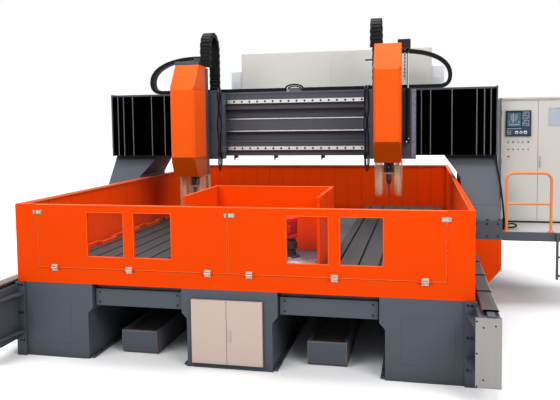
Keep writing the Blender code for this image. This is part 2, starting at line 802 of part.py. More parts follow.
inner = FENCE_HALF_WIDTH - GUARD_SHEET
fence_front = behind(FENCE_FRONT)
fence_back = behind(FENCE_BACK)
fence_outline = [
    (-FENCE_HALF_WIDTH, fence_front), (-inner, fence_front), (-inner, fence_back - GUARD_SHEET),
    (inner, fence_back - GUARD_SHEET), (inner, fence_front), (FENCE_HALF_WIDTH, fence_front),
    (FENCE_HALF_WIDTH, fence_back), (-FENCE_HALF_WIDTH, fence_back),
]
profile("inner_fence", fence_outline, "Z", deck_top + SEAT_GAP, GUARD_TOP, ORANGE)

# Chip conveyors

for side, sign in SIDES:
    x = [CONVEYOR_CENTRE_X[side] + end * CONVEYOR_WIDTH / 2 for end in (-1, 1)]
    y = (behind(CONVEYOR_FRONT), behind(CONVEYOR_FRONT + CONVEYOR_LENGTH))
    conveyor_outline = [
        (y[0] + CONVEYOR_BEVEL, 0), (y[1] - CONVEYOR_BEVEL, 0), (y[1], CONVEYOR_BEVEL),
        (y[1], CONVEYOR_HEIGHT), (y[0], CONVEYOR_HEIGHT), (y[0], CONVEYOR_BEVEL),
    ]
    conveyor = profile(f"{side}_chip_conveyor", conveyor_outline, "X", *x, GREY)
    tray = block(
        f"{side}_conveyor_tray",
        (x[0] + CONVEYOR_RIM, y[0] + CONVEYOR_RIM, CONVEYOR_HEIGHT - CONVEYOR_TRAY_DEPTH),
        (x[1] - CONVEYOR_RIM, y[1] - CONVEYOR_RIM, CONVEYOR_HEIGHT + CONVEYOR_RIM),
        GREY,
    )
    cut(conveyor, tray)

# Side beds, each one casting with its rail, feet, end plate and corner bracket

bed_inner = BED_INNER_X + SEAT_GAP
bed_outer = BED_INNER_X + BED_WIDTH
rail_centre = COVER_CENTRE_X
rail_edges = (rail_centre - BED_RAIL_WIDTH / 2, rail_centre + BED_RAIL_WIDTH / 2)
bed_outline = [
    (bed_inner, BED_BOTTOM), (bed_outer, BED_BOTTOM), (bed_outer, BED_TOP), (rail_edges[1], BED_TOP),
    (rail_edges[1], BED_RAIL_TOP), (rail_edges[0], BED_RAIL_TOP), (rail_edges[0], BED_TOP),
    (bed_inner, BED_TOP),
]
rib_inner = BRACKET_INNER_X + BITE / 2
rib_front = behind(-BED_OVERHANG + END_PLATE_THICKNESS / 2)
rib_outline = [
    (rib_inner, behind(-BITE)), (rib_inner, behind(-BRACKET_THICKNESS - BITE)),
    (RIB_FRONT_X + BITE / 2, rib_front), (bed_inner + BITE, rib_front), (bed_inner + BITE, behind(-BITE)),
]
foot_spacing = (BED_END - 2 * BED_FOOT_FIRST - BED_FOOT_LENGTH) / (BED_FOOT_COUNT - 1)
for side, sign in SIDES:
    bed = profile(
        f"{side}_side_bed", mirrored(bed_outline, sign), "Y", behind(-BED_OVERHANG), behind(BED_END), GREY
    )
    plate_x = spread(RIB_FRONT_X, bed_outer + STEP, sign)
    bracket_x = spread(BRACKET_INNER_X, bed_inner + BITE, sign)
    pieces = [
        block(
            f"{side}_bed_end_plate",
            (plate_x[0], behind(-BED_OVERHANG - END_PLATE_THICKNESS), BED_BOTTOM - STEP),
            (plate_x[1], behind(-BED_OVERHANG + END_PLATE_THICKNESS), END_PLATE_TOP),
            STEEL,
        ),
        block(
            f"{side}_corner_bracket",
            (bracket_x[0], behind(-BRACKET_THICKNESS), 0),
            (bracket_x[1], behind(-SEAT_GAP), BASE_HEIGHT),
            GREY,
        ),
    ]
    for number, top in enumerate(RIB_TOPS, 1):
        outline = mirrored(rib_outline, sign)
        rib_z = (top - RIB_THICKNESS, top)
        pieces.append(profile(f"{side}_corner_rib_{number}", outline, "Z", *rib_z, GREY, helpers))
    foot_x = spread(bed_inner + BED_FOOT_INSET, bed_outer - BED_FOOT_INSET, sign)
    for number in range(BED_FOOT_COUNT):
        start = behind(BED_FOOT_FIRST + foot_spacing * number)
        pieces.append(
            block(
                f"{side}_bed_foot_{number}",
                (foot_x[0], start, 0),
                (foot_x[1], start + BED_FOOT_LENGTH, BED_BOTTOM + BITE),
                GREY,
            )
        )
    join(bed, *pieces)


# Stepped covers over the rails, lowest at the ends of the bed

def way_cover(name, low_end, high_end, sign):
    """Overlapping sheet sections whose tops rise in steps from the bed's end towards the gantry."""
    length = (high_end - low_end) / COVER_SECTIONS
    bottom = BED_RAIL_TOP + SEAT_GAP
    points = [(low_end, bottom)]
    for section in range(COVER_SECTIONS):
        top = COVER_LOW_TOP + COVER_STEP * section
        points += [(low_end + length * section, top), (low_end + length * (section + 1), top)]
    points.append((high_end, bottom))
    x = spread(COVER_CENTRE_X - COVER_WIDTH / 2, COVER_CENTRE_X + COVER_WIDTH / 2, sign)
    profile(name, points, "X", *x, STEEL)


foot_back = FOOT_FRONT + FOOT_LENGTH
for side, sign in SIDES:
    way_cover(f"{side}_front_way_cover", behind(COVER_FRONT_END), behind(FOOT_FRONT - SEAT_GAP), sign)
    way_cover(f"{side}_back_way_cover", behind(BED_END - BITE), behind(foot_back + SEAT_GAP), sign)

# Gantry legs: a tapered leg with a haunch on a long foot, whose shoes ride on the bed rail

gantry = pivot("gantry_travel_pivot", (0, behind(BEAM_FRONT), BEAM_BOTTOM))
leg_low = (FOOT_TOP + FOOT_BOTTOM) / 2
leg_top = BEAM_BOTTOM - SEAT_GAP
leg_front_outline = [
    (LEG_INNER_X, leg_low), (LEG_OUTER_X, leg_low), (LEG_OUTER_X, leg_top), (HAUNCH_INNER_X, leg_top),
    (LEG_INNER_X, HAUNCH_LOW),
]
leg_side_outline = [
    (behind(LEG_LOW_FRONT), leg_low - BITE), (behind(LEG_LOW_BACK), leg_low - BITE),
    (behind(LEG_LOW_BACK), FOOT_TOP), (behind(LEG_TOP_BACK), leg_top + BITE),
    (behind(LEG_TOP_FRONT), leg_top + BITE), (behind(LEG_LOW_FRONT), FOOT_TOP),
]
shoe_half = BED_RAIL_WIDTH / 2
shoe_bottom = BED_RAIL_TOP + SEAT_GAP
for side, sign in SIDES:
    leg_depth = (behind(LEG_LOW_FRONT - BITE), behind(LEG_LOW_BACK + BITE))
    leg = profile(f"{side}_leg", mirrored(leg_front_outline, sign), "Y", *leg_depth, GREY)
    taper_x = spread(HAUNCH_INNER_X - BITE, LEG_OUTER_X + BITE, sign)
    taper = profile(f"{side}_leg_taper", leg_side_outline, "X", *taper_x, GREY, helpers)
    combine(leg, "INTERSECT", [taper])
    foot_x = spread(FOOT_INNER_X, FOOT_OUTER_X, sign)
    shoe_x = spread(rail_centre - shoe_half, rail_centre + shoe_half, sign)
    apron_x = spread(FOOT_INNER_X + STEP, COVER_CENTRE_X + COVER_WIDTH / 2 - STEP, sign)
    pieces = [
        block(
            f"{side}_foot",
            (foot_x[0], behind(FOOT_FRONT), FOOT_BOTTOM),
            (foot_x[1], behind(foot_back), FOOT_TOP),
            GREY,
        )
    ]
    for name, x, start, length in (
        ("front_shoe", shoe_x, FOOT_FRONT + SHOE_INSET, SHOE_LENGTH),
        ("back_shoe", shoe_x, foot_back - SHOE_INSET - SHOE_LENGTH, SHOE_LENGTH),
        ("front_apron", apron_x, FOOT_FRONT + STEP, APRON_THICKNESS),
        ("back_apron", apron_x, foot_back - STEP - APRON_THICKNESS, APRON_THICKNESS),
    ):
        pieces.append(
            block(
                f"{side}_{name}",
                (x[0], behind(start), shoe_bottom),
                (x[1], behind(start + length), FOOT_BOTTOM + BITE),
                GREY,
            )
        )
    if side == "left":
        conduit_y = behind(LEG_TOP_FRONT + CONDUIT_SETBACK)
        conduit_route = [
            (-CONDUIT_X, conduit_y, FOOT_TOP - BITE), (-CONDUIT_X, conduit_y, FOOT_TOP + CONDUIT_ELBOW),
            (-CONDUIT_X, conduit_y, leg_top - CONDUIT_ELBOW),
            (-LEG_OUTER_X + BITE, conduit_y, leg_top - BITE),
        ]
        pieces.append(tube("leg_conduit", conduit_route, CONDUIT_RADIUS, ORANGE, helpers))
        pieces.append(
            block(
                "conduit_shelf",
                (-CONDUIT_X - CONDUIT_RADIUS, conduit_y - CONDUIT_RADIUS, FOOT_TOP - 2 * BITE),
                (-FOOT_OUTER_X + BITE, conduit_y + CONDUIT_RADIUS, FOOT_TOP - BITE / 2),
                GREY,
            )
        )
    join(leg, *pieces)
    guard_outline = [
        (DRIVE_GUARD_INNER_X, DRIVE_GUARD_BOTTOM), (LEG_OUTER_X - DRIVE_GUARD_CHAMFER_X, DRIVE_GUARD_BOTTOM),
        (LEG_OUTER_X, DRIVE_GUARD_BOTTOM + DRIVE_GUARD_CHAMFER_Z), (LEG_OUTER_X, FOOT_BOTTOM - SEAT_GAP),
        (DRIVE_GUARD_INNER_X, FOOT_BOTTOM - SEAT_GAP),
    ]
    guard_y = (behind(FOOT_FRONT), behind(FOOT_FRONT + DRIVE_GUARD_LENGTH))
    guard = profile(f"{side}_drive_guard", mirrored(guard_outline, sign), "Y", *guard_y, ORANGE)
    ride_on(gantry, leg, guard)

# Cross beam: a box section with two rails, a recess between them and the rack in the recess

rail_face = BEAM_FRONT - BEAM_RAIL_REACH
recess_floor = BEAM_FRONT + RECESS_DEPTH
beam_back = BEAM_FRONT + BEAM_DEPTH
beam_outline = [
    (BEAM_FRONT, BEAM_BOTTOM), (beam_back, BEAM_BOTTOM), (beam_back, BEAM_TOP), (BEAM_FRONT, BEAM_TOP),
]
for low, high, face in (
    (UPPER_RAIL_Z - BEAM_RAIL_HEIGHT / 2, UPPER_RAIL_Z + BEAM_RAIL_HEIGHT / 2, rail_face),
    (RECESS_LOW, RECESS_HIGH, recess_floor),
    (LOWER_RAIL_Z - BEAM_RAIL_HEIGHT / 2, LOWER_RAIL_Z + BEAM_RAIL_HEIGHT / 2, rail_face),
):
    beam_outline += [(BEAM_FRONT, high), (face, high)]
    if face == recess_floor:
        rack_face = recess_floor - RACK_REACH
        beam_outline += [(face, RACK_HIGH), (rack_face, RACK_HIGH), (rack_face, RACK_LOW), (face, RACK_LOW)]
    beam_outline += [(face, low), (BEAM_FRONT, low)]
beam_outline = [(behind(y), z) for y, z in beam_outline]
cross_beam = profile("cross_beam", beam_outline, "X", -BEAM_HALF_LENGTH, BEAM_HALF_LENGTH, GREY)
for side, sign in SIDES:
    stop_half = END_STOP_THICKNESS / 2
    stop_x = spread(BEAM_HALF_LENGTH - stop_half, BEAM_HALF_LENGTH + stop_half, sign)
    join(
        cross_beam,
        block(
            f"{side}_end_stop",
            (stop_x[0], behind(BEAM_FRONT - END_STOP_REACH), BEAM_BOTTOM + STEP),
            (stop_x[1], behind(beam_back - STEP), BEAM_TOP + STEP),
            GREY,
        ),
    )
ride_on(gantry, cross_beam)

# Electrical cabinet with its coolers

rear_y = (behind(beam_back + SEAT_GAP), behind(beam_back + SEAT_GAP + REAR_CABINET_DEPTH))
rear_cabinet = block(
    "rear_electrical_cabinet",
    (REAR_CABINET_LEFT_X, rear_y[0], REAR_CABINET_BOTTOM),
    (REAR_CABINET_RIGHT_X, rear_y[1], REAR_CABINET_TOP),
    BEIGE,
)
cooler_y = (rear_y[0] + GUARD_SHEET, rear_y[0] + GUARD_SHEET + COOLER_DEPTH)
for name, x in (
    ("left_cooler", (REAR_CABINET_LEFT_X - COOLER_WIDTH, REAR_CABINET_LEFT_X + BITE)),
    ("right_cooler", (REAR_CABINET_RIGHT_X - BITE, REAR_CABINET_RIGHT_X + COOLER_WIDTH)),
):
    low = (x[0], cooler_y[0], COOLER_BOTTOM)
    high = (x[1], cooler_y[1], COOLER_BOTTOM + COOLER_HEIGHT)
    join(rear_cabinet, block(name, low, high, BEIGE))
ride_on(gantry, rear_cabinet)

# Operator's platform with its ladder

platform_left = FOOT_OUTER_X + SEAT_GAP
platform_right = platform_left + PLATFORM_WIDTH
platform_back = PLATFORM_FRONT + PLATFORM_DEPTH
platform = block(
    "operator_platform",
    (platform_left, behind(PLATFORM_FRONT), PLATFORM_BOTTOM),
    (platform_right, behind(platform_back), PLATFORM_TOP),
    GREY,
)
cut(
    platform,
    block(
        "platform_underside",
        (platform_left + PLATFORM_RIM, behind(PLATFORM_FRONT + PLATFORM_RIM), PLATFORM_BOTTOM - BITE),
        (platform_right - PLATFORM_RIM, behind(platform_back - PLATFORM_RIM), PLATFORM_TOP - PLATFORM_PLATE),
        GREY,
    ),
)
ladder_right = LADDER_LEFT_X + LADDER_WIDTH
ladder_y = (behind(PLATFORM_FRONT - STRINGER_DEPTH), behind(PLATFORM_FRONT - SEAT_GAP))
ladder = block(
    "platform_ladder",
    (LADDER_LEFT_X, ladder_y[0], LADDER_BOTTOM),
    (LADDER_LEFT_X + STRINGER_WIDTH, ladder_y[1], PLATFORM_TOP),
    GREY,
)
ladder_pieces = [
    block(
        "right_stringer",
        (ladder_right - STRINGER_WIDTH, ladder_y[0], LADDER_BOTTOM),
        (ladder_right, ladder_y[1], PLATFORM_TOP),
        GREY,
    )
]
rung_x = (LADDER_LEFT_X + STRINGER_WIDTH / 2, ladder_right - STRINGER_WIDTH / 2)
for number in range(RUNG_COUNT):
    rung_z = LADDER_BOTTOM + STRINGER_DEPTH + RUNG_SPACING * number
    ends = [(x, sum(ladder_y) / 2, rung_z) for x in rung_x]
    ladder_pieces.append(round_bar(f"rung_{number}", RUNG_RADIUS, *ends, GREY))
join(ladder, *ladder_pieces)

# Handrail with round corners and a middle rail

rail_y = behind(PLATFORM_FRONT + RAIL_SETBACK)
rail_foot = PLATFORM_TOP + SEAT_GAP
corner_steps = 5
rail_points = [(RAIL_LEFT_X, rail_y, rail_foot)]
for centre_x, first_angle in ((RAIL_LEFT_X + RAIL_BEND, math.pi), (RAIL_RIGHT_X - RAIL_BEND, math.pi / 2)):
    for step in range(corner_steps + 1):
        angle = first_angle - math.pi / 2 * step / corner_steps
        x = centre_x + RAIL_BEND * math.cos(angle)
        rail_points.append((x, rail_y, RAIL_TOP - RAIL_BEND * (1 - math.sin(angle))))
rail_points.append((RAIL_RIGHT_X, rail_y, rail_foot))
handrail = tube("platform_handrail", rail_points, RAIL_RADIUS, ORANGE)
middle_ends = [(x, rail_y, RAIL_MIDDLE) for x in (RAIL_LEFT_X, RAIL_RIGHT_X)]
join(handrail, round_bar("middle_rail", MIDDLE_RAIL_RADIUS, *middle_ends, ORANGE, sides=12))
for side, x in (("left", RAIL_LEFT_X), ("right", RAIL_RIGHT_X)):
    flange_ends = [(x, rail_y, z) for z in (rail_foot, rail_foot + RAIL_FLANGE_THICKNESS)]
    join(handrail, round_bar(f"{side}_rail_flange", RAIL_FLANGE_RADIUS, *flange_ends, ORANGE))
ride_on(gantry, platform, ladder, handrail)

# Control cabinet with its two doors; the left door carries the operator's panel

control_right = CONTROL_LEFT_X + CONTROL_WIDTH
control_bottom = PLATFORM_TOP + SEAT_GAP
control_back = CONTROL_FRONT + CONTROL_DEPTH
control_cabinet = block(
    "control_cabinet",
    (CONTROL_LEFT_X, behind(CONTROL_FRONT), control_bottom),
    (control_right, behind(control_back), CONTROL_TOP),
    BEIGE,
)
cut(
    control_cabinet,
    block(
        "control_hollow",
        (CONTROL_LEFT_X + CONTROL_SHEET, behind(CONTROL_FRONT - BITE), control_bottom + CONTROL_PLINTH),
        (control_right - CONTROL_SHEET, behind(control_back - CONTROL_SHEET), CONTROL_TOP - CONTROL_SHEET),
        BEIGE,
    ),
)
control_face = CONTROL_FRONT - RUNNING_CLEARANCE - CONTROL_DOOR_THICKNESS
join(
    control_cabinet,
    block(
        "control_hood",
        (CONTROL_LEFT_X - STEP, behind(control_face), CONTROL_TOP - CONTROL_HOOD_HEIGHT),
        (control_right + STEP, behind(CONTROL_FRONT + BITE), CONTROL_TOP + STEP),
        BEIGE,
    ),
)
control_middle = CONTROL_LEFT_X + CONTROL_WIDTH / 2
control_door_z = (control_bottom + CONTROL_PLINTH, CONTROL_TOP - CONTROL_HOOD_HEIGHT - RUNNING_CLEARANCE)
seam_half = RUNNING_CLEARANCE / 2
left_control_door = hinged_leaf(
    "control_cabinet_left_door", (CONTROL_LEFT_X, control_middle - seam_half), behind(CONTROL_FRONT),
    CONTROL_DOOR_THICKNESS, control_door_z, CONTROL_LEFT_X, BEIGE,
)
right_control_door = hinged_leaf(
    "control_cabinet_right_door", (control_middle + seam_half, control_right), behind(CONTROL_FRONT),
    CONTROL_DOOR_THICKNESS, control_door_z, control_right, BEIGE,
)
panel_back = behind(control_face + CONTROL_DOOR_THICKNESS / 2)
join(
    left_control_door,
    block(
        "operator_panel",
        (PANEL_LEFT_X, behind(control_face - PANEL_PROUD), PANEL_BOTTOM),
        (PANEL_LEFT_X + PANEL_WIDTH, panel_back, PANEL_BOTTOM + PANEL_HEIGHT),
        BEIGE,
    ),
)
ride_on(gantry, control_cabinet, left_control_door.parent, right_control_door.parent)

# Cable from the beam's end to the gland on the platform

gland_middle = (GLAND_LEFT_X + GLAND_WIDTH / 2, behind(GLAND_FRONT + GLAND_DEPTH / 2))
cable_route = [
    Vector((CABLE_START[0], behind(CABLE_START[1]), BEAM_BOTTOM + STEP - SEAT_GAP)),
    *[Vector((x, behind(y), z)) for x, y, z in CABLE_BENDS],
    Vector((*gland_middle, GLAND_TOP + SEAT_GAP)),
]


def smooth_route(route, steps):
    """Points on a smooth curve through the route's points, straight up and down at its ends."""
    tangents = [Vector((0, 0, -CABLE_START_PULL))]
    tangents += [(after - before) / 2 for before, after in zip(route, route[2:])]
    tangents.append(Vector((0, 0, -CABLE_END_PULL)))
    points = []
    for index in range(len(route) - 1):
        for step in range(steps):
            t = step / steps
            points.append(
                route[index] * (2 * t**3 - 3 * t**2 + 1)
                + tangents[index] * (t**3 - 2 * t**2 + t)
                + route[index + 1] * (3 * t**2 - 2 * t**3)
                + tangents[index + 1] * (t**3 - t**2)
            )
    return [*points, route[-1]]


cable = tube("beam_end_cable", smooth_route(cable_route, 5), CABLE_RADIUS, BLACK, resolution=2)
gland = block(
    "cable_gland",
    (GLAND_LEFT_X, behind(GLAND_FRONT), PLATFORM_TOP + SEAT_GAP),
    (GLAND_LEFT_X + GLAND_WIDTH, behind(GLAND_FRONT + GLAND_DEPTH), GLAND_TOP),
    BLACK,
)
ride_on(gantry, cable, gland)

# Cable chains


def chain_outline(path, thickness):
    """Outline of a chain along a path of evenly spaced points, with a notch between links on both faces."""
    half = thickness / 2
    near, far = [], []
    for start, end in zip(path, path[1:]):
        along = (end - start).normalized()
        across = Vector((-along.y, along.x))
        edges = (start + along * LINK_GAP / 2, end - along * LINK_GAP / 2)
        for edge, notch_first in zip(edges, (True, False)):
            levels = (half - LINK_NOTCH, half) if notch_first else (half, half - LINK_NOTCH)
            for level in levels:
                near.append(edge + across * level)
                far.append(edge - across * level)
    return [tuple(point) for point in near + far[::-1]]


def evenly_spaced(points, pitch):
    """Points a pitch apart along a polyline, its ends kept."""
    lengths = [0.0]
    for start, end in zip(points, points[1:]):
        lengths.append(lengths[-1] + (end - start).length)
    count = round(lengths[-1] / pitch)
    placed = []
    for number in range(count + 1):
        target = lengths[-1] * number / count
        index = max(i for i in range(len(points) - 1) if lengths[i] <= target + 1e-9)
        share = (target - lengths[index]) / (lengths[index + 1] - lengths[index])
        placed.append(points[index].lerp(points[index + 1], share))
    return placed


def bezier(start, first, second, end, steps=12):
    def at(t):
        s = 1 - t
        return start * s**3 + first * 3 * s * s * t + second * 3 * s * t * t + end * t**3
    return [at(step / steps) for step in range(steps + 1)]


chain_low = BEAM_TOP + SEAT_GAP + BEAM_CHAIN_THICKNESS / 2
chain_high = MAST_TOP + SEAT_GAP + BEAM_CHAIN_THICKNESS / 2
beam_chain_back = BEAM_FRONT + BEAM_CHAIN_SETBACK + BEAM_CHAIN_WIDTH
beam_chain_y = (behind(BEAM_FRONT + BEAM_CHAIN_SETBACK), behind(beam_chain_back))


def beam_chain_path(head_distance):
    """Centre line in X and Z of the right chain: from the saddle's mast, round the bend, along the beam."""
    bend_x = BEAM_CHAIN_BEND_X - BEAM_CHAIN_THICKNESS / 2
    bend_z = chain_low + (chain_high - chain_low) * BEAM_CHAIN_BEND_SHARE
    pull_up = (chain_high - bend_z) * BEAM_CHAIN_BEND_PULL
    pull_down = (bend_z - chain_low) * BEAM_CHAIN_BEND_PULL
    clip_end = head_distance + 2 * MAST_HALF_WIDTH
    upper = bezier(
        Vector((clip_end, chain_high)), Vector((clip_end + BEAM_CHAIN_UPPER_PULL, chain_high)),
        Vector((bend_x, bend_z + pull_up)), Vector((bend_x, bend_z)),
    )
    lower = bezier(
        Vector((bend_x, bend_z)), Vector((bend_x, bend_z - pull_down)),
        Vector((BEAM_CHAIN_LOW_TURN_X + BEAM_CHAIN_LOWER_PULL, chain_low)),
        Vector((BEAM_CHAIN_LOW_TURN_X, chain_low)),
    )
    clip = Vector((head_distance - MAST_HALF_WIDTH, chain_high))
    return evenly_spaced([clip, *upper, *lower[1:], Vector((BEAM_CHAIN_FIXED_X, chain_low))], LINK_PITCH)


for side, sign in SIDES:
    outline = chain_outline(beam_chain_path(abs(HEAD_X[side])), BEAM_CHAIN_THICKNESS)
    chain = profile(f"{side}_beam_chain", mirrored(outline, sign), "Y", *beam_chain_y, BLACK, fill="NONE")
    ride_on(gantry, chain)

# Bellows: a pleated skin in front of the beam rails, from the saddle to the end of the beam


def bellows_outline(inner_x, outer_x):
    pitch = (outer_x - inner_x) / BELLOWS_PLEATS
    front, back = behind(BELLOWS_FRONT), behind(BELLOWS_BACK) - BELLOWS_SKIN
    ridge = []
    for pleat in range(BELLOWS_PLEATS):
        ridge += [(inner_x + pitch * pleat, back), (inner_x + pitch * (pleat + 0.5), front)]
    ridge.append((outer_x, back))
    return ridge + [(x, y + BELLOWS_SKIN) for x, y in ridge[::-1]]


for side, sign in SIDES:
    saddle_edge = abs(HEAD_X[side]) + SADDLE_WIDTH / 2 + STEP
    outline = bellows_outline(saddle_edge + SEAT_GAP, BEAM_HALF_LENGTH - END_STOP_THICKNESS / 2 - SEAT_GAP)
    bellows_z = (BELLOWS_BOTTOM, BELLOWS_TOP)
    bellows = profile(f"{side}_bellows", mirrored(outline, sign), "Z", *bellows_z, BLACK, fill="NONE")
    ride_on(gantry, bellows)

# Heads


def head_block(name, side, x, y, z, material=GREY):
    """A block placed from a head's middle, with X counted outwards from the machine's middle."""
    placed = spread(*x, HEAD_OUTWARD[side])
    low = (HEAD_X[side] + placed[0], behind(y[0]), z[0])
    high = (HEAD_X[side] + placed[1], behind(y[1]), z[1])
    return block(name, low, high, material)


def build_saddle(side):
    """The saddle in one piece with its carriages, ram rails, mast, chain shelf and cylinder barrel."""
    half = SADDLE_WIDTH / 2
    saddle_z = (SADDLE_BOTTOM, SADDLE_TOP)
    saddle = head_block(f"{side}_saddle", side, (-half, half), (SADDLE_FRONT, BELLOWS_FRONT), saddle_z)
    carriage_half = CARRIAGE_LENGTH / 2
    carriage_y = (BELLOWS_FRONT - BITE, rail_face - SEAT_GAP)
    pieces = []
    for level, rail_z in (("lower", LOWER_RAIL_Z), ("upper", UPPER_RAIL_Z)):
        carriage_z = (rail_z - CARRIAGE_HEIGHT / 2, rail_z + CARRIAGE_HEIGHT / 2)
        for end, middle in (("inner", -CARRIAGE_CENTRE_X), ("outer", CARRIAGE_CENTRE_X)):
            x = (middle - carriage_half, middle + carriage_half)
            pieces.append(head_block(f"{side}_{level}_{end}_carriage", side, x, carriage_y, carriage_z))

    flange_y = (BELLOWS_FRONT - BITE, rail_face - RUNNING_CLEARANCE)
    flange_z = (BELLOWS_BOTTOM, BELLOWS_TOP)
    pieces.append(head_block(f"{side}_bellows_flange", side, (half - BITE, half + STEP), flange_y, flange_z))

    rail_half = RAM_RAIL_WIDTH / 2
    rail_y = (SADDLE_FRONT - RAM_RAIL_DEPTH, SADDLE_FRONT + BITE)
    rail_z = (SADDLE_BOTTOM + BITE, SADDLE_TOP - BITE)
    for end, middle in (("inner", -RAM_RAIL_CENTRE_X), ("outer", RAM_RAIL_CENTRE_X)):
        x = (middle - rail_half, middle + rail_half)
        pieces.append(head_block(f"{side}_{end}_ram_rail", side, x, rail_y, rail_z))

    mast_y = (SADDLE_FRONT + BITE, SADDLE_FRONT + MAST_DEPTH)
    mast_z = (SADDLE_TOP - BITE, MAST_TOP - BITE)
    pieces.append(head_block(f"{side}_mast", side, (-MAST_HALF_WIDTH, MAST_HALF_WIDTH), mast_y, mast_z))
    arm_x = (-MAST_HALF_WIDTH - STEP, MAST_HALF_WIDTH + STEP)
    arm_y = (SADDLE_FRONT + BITE - STEP, beam_chain_back)
    pieces.append(head_block(f"{side}_mast_arm", side, arm_x, arm_y, (MAST_TOP - 2 * BITE, MAST_TOP)))

    shelf_bottom = BEAM_TOP + RUNNING_CLEARANCE
    shelf_x = (-RAM_CHAIN_X - RAM_CHAIN_WIDTH / 2, -RAM_CHAIN_X + RAM_CHAIN_WIDTH / 2)
    shelf_y = (BELLOWS_FRONT - BITE, RAM_CHAIN_FAR + RAM_CHAIN_THICKNESS / 2)
    shelf_z = (shelf_bottom, shelf_bottom + CHAIN_SHELF_HEIGHT)
    post_x = (shelf_x[0] + STEP, shelf_x[1] - STEP)
    post_y = (BELLOWS_FRONT - 2 * BITE, BELLOWS_FRONT - STEP)
    post_z = (SADDLE_TOP - BITE, shelf_bottom + CHAIN_SHELF_HEIGHT / 2)
    pieces.append(head_block(f"{side}_chain_post", side, post_x, post_y, post_z))
    pieces.append(head_block(f"{side}_chain_shelf", side, shelf_x, shelf_y, shelf_z))

    clamp_x = (CYLINDER_X - CLAMP_WIDTH / 2, CYLINDER_X + CLAMP_WIDTH / 2)
    clamp_y = (CYLINDER_BEHIND + BARREL_BORE + STEP, SADDLE_FRONT + BITE)
    for level, low in (("low", CLAMP_LOW_Z), ("high", CLAMP_HIGH_Z)):
        clamp_z = (low, low + CLAMP_HEIGHT)
        pieces.append(head_block(f"{side}_{level}_cylinder_clamp", side, clamp_x, clamp_y, clamp_z))
    barrel_place = (HEAD_X[side] + HEAD_OUTWARD[side] * CYLINDER_X, behind(CYLINDER_BEHIND), 0)
    barrel_floor = BARREL_BOTTOM + BARREL_FLOOR
    barrel_outline = [
        (0, barrel_floor), (BARREL_BORE, barrel_floor), (BARREL_BORE, BARREL_TOP),
        (BARREL_RADIUS, BARREL_TOP), (BARREL_RADIUS, BARREL_BOTTOM), (0, BARREL_BOTTOM),
    ]
    pieces.append(turned(f"{side}_cylinder_barrel", barrel_outline, barrel_place, BLACK, helpers, steps=20))
    return join(saddle, *pieces)


def cover_outline(bottom):
    """Side view of the ram's cover: a brow that leans back, a flat face and a chin that turns in under it."""
    top = bottom + COVER_HEIGHT
    chin_top = bottom + COVER_CHIN_HEIGHT
    lean = math.atan2(COVER_CHIN_DEPTH, COVER_CHIN_HEIGHT)
    centre = (COVER_FRONT + COVER_CHIN_RADIUS, chin_top + COVER_CHIN_RADIUS * math.tan(lean / 2))
    points = [
        (COVER_BACK, bottom), (COVER_BACK, top), (COVER_FRONT + COVER_BROW_DEPTH, top),
        (COVER_FRONT, top - COVER_BROW_HEIGHT),
    ]
    arc_steps = 4
    for step in range(arc_steps + 1):
        angle = math.pi + lean * step / arc_steps
        points.append(
            (centre[0] + COVER_CHIN_RADIUS * math.cos(angle), centre[1] + COVER_CHIN_RADIUS * math.sin(angle))
        )
    points.append((COVER_FRONT + COVER_CHIN_DEPTH, bottom))
    return [(behind(y), z) for y, z in points]


def edge_cutter(side, end, low, high):
    """A wedge that takes a chamfer off one upright front edge of the ram's cover."""
    edge = HEAD_X[side] + end * COVER_HALF_WIDTH
    front = behind(COVER_FRONT)
    reach = COVER_EDGE_CHAMFER + BITE
    outer = edge + end * BITE
    outline = [(outer, front + reach), (edge - end * reach, front - BITE), (outer, front - BITE)]
    return profile(f"{side}_edge_cutter_{end}", outline, "Z", low, high, ORANGE)


def build_ram(side):
    """The cover, and behind it the slide with the box on top that holds the balance cylinder's rod."""
    bottom = RAM_LOWEST_BOTTOM + RAM_RISE[side]
    top = bottom + COVER_HEIGHT
    x = (HEAD_X[side] - COVER_HALF_WIDTH, HEAD_X[side] + COVER_HALF_WIDTH)
    cover = profile(f"{side}_ram_cover", cover_outline(bottom), "X", *x, ORANGE)
    cut(cover, *[edge_cutter(side, end, bottom - BITE, top + BITE) for end in (-1, 1)])

    slide_back = SADDLE_FRONT - RAM_RAIL_DEPTH - SEAT_GAP
    slide_top = top - SLIDE_DROP
    slide_x = (-SLIDE_HALF_WIDTH, SLIDE_HALF_WIDTH)
    slide_y = (COVER_BACK + SEAT_GAP, slide_back)
    slide = head_block(f"{side}_ram_slide", side, slide_x, slide_y, (bottom, slide_top))
    box_x = (HEAD_BOX_INNER_X[side], HEAD_BOX_OUTER_X)
    box_z = (slide_top - SLIDE_DROP, slide_top - SLIDE_DROP + HEAD_BOX_HEIGHT)
    head_box = head_block(f"{side}_head_box", side, box_x, (HEAD_BOX_FRONT, slide_back), box_z)
    rod_x = HEAD_X[side] + HEAD_OUTWARD[side] * CYLINDER_X
    rod_z = (ROD_END_ABOVE_LOWEST + RAM_RISE[side], slide_top)
    rod_ends = [(rod_x, behind(CYLINDER_BEHIND), z) for z in rod_z]
    rod = round_bar(f"{side}_cylinder_rod", ROD_RADIUS, *rod_ends, STEEL, sides=16)
    join(slide, head_box, rod)
    return cover, slide


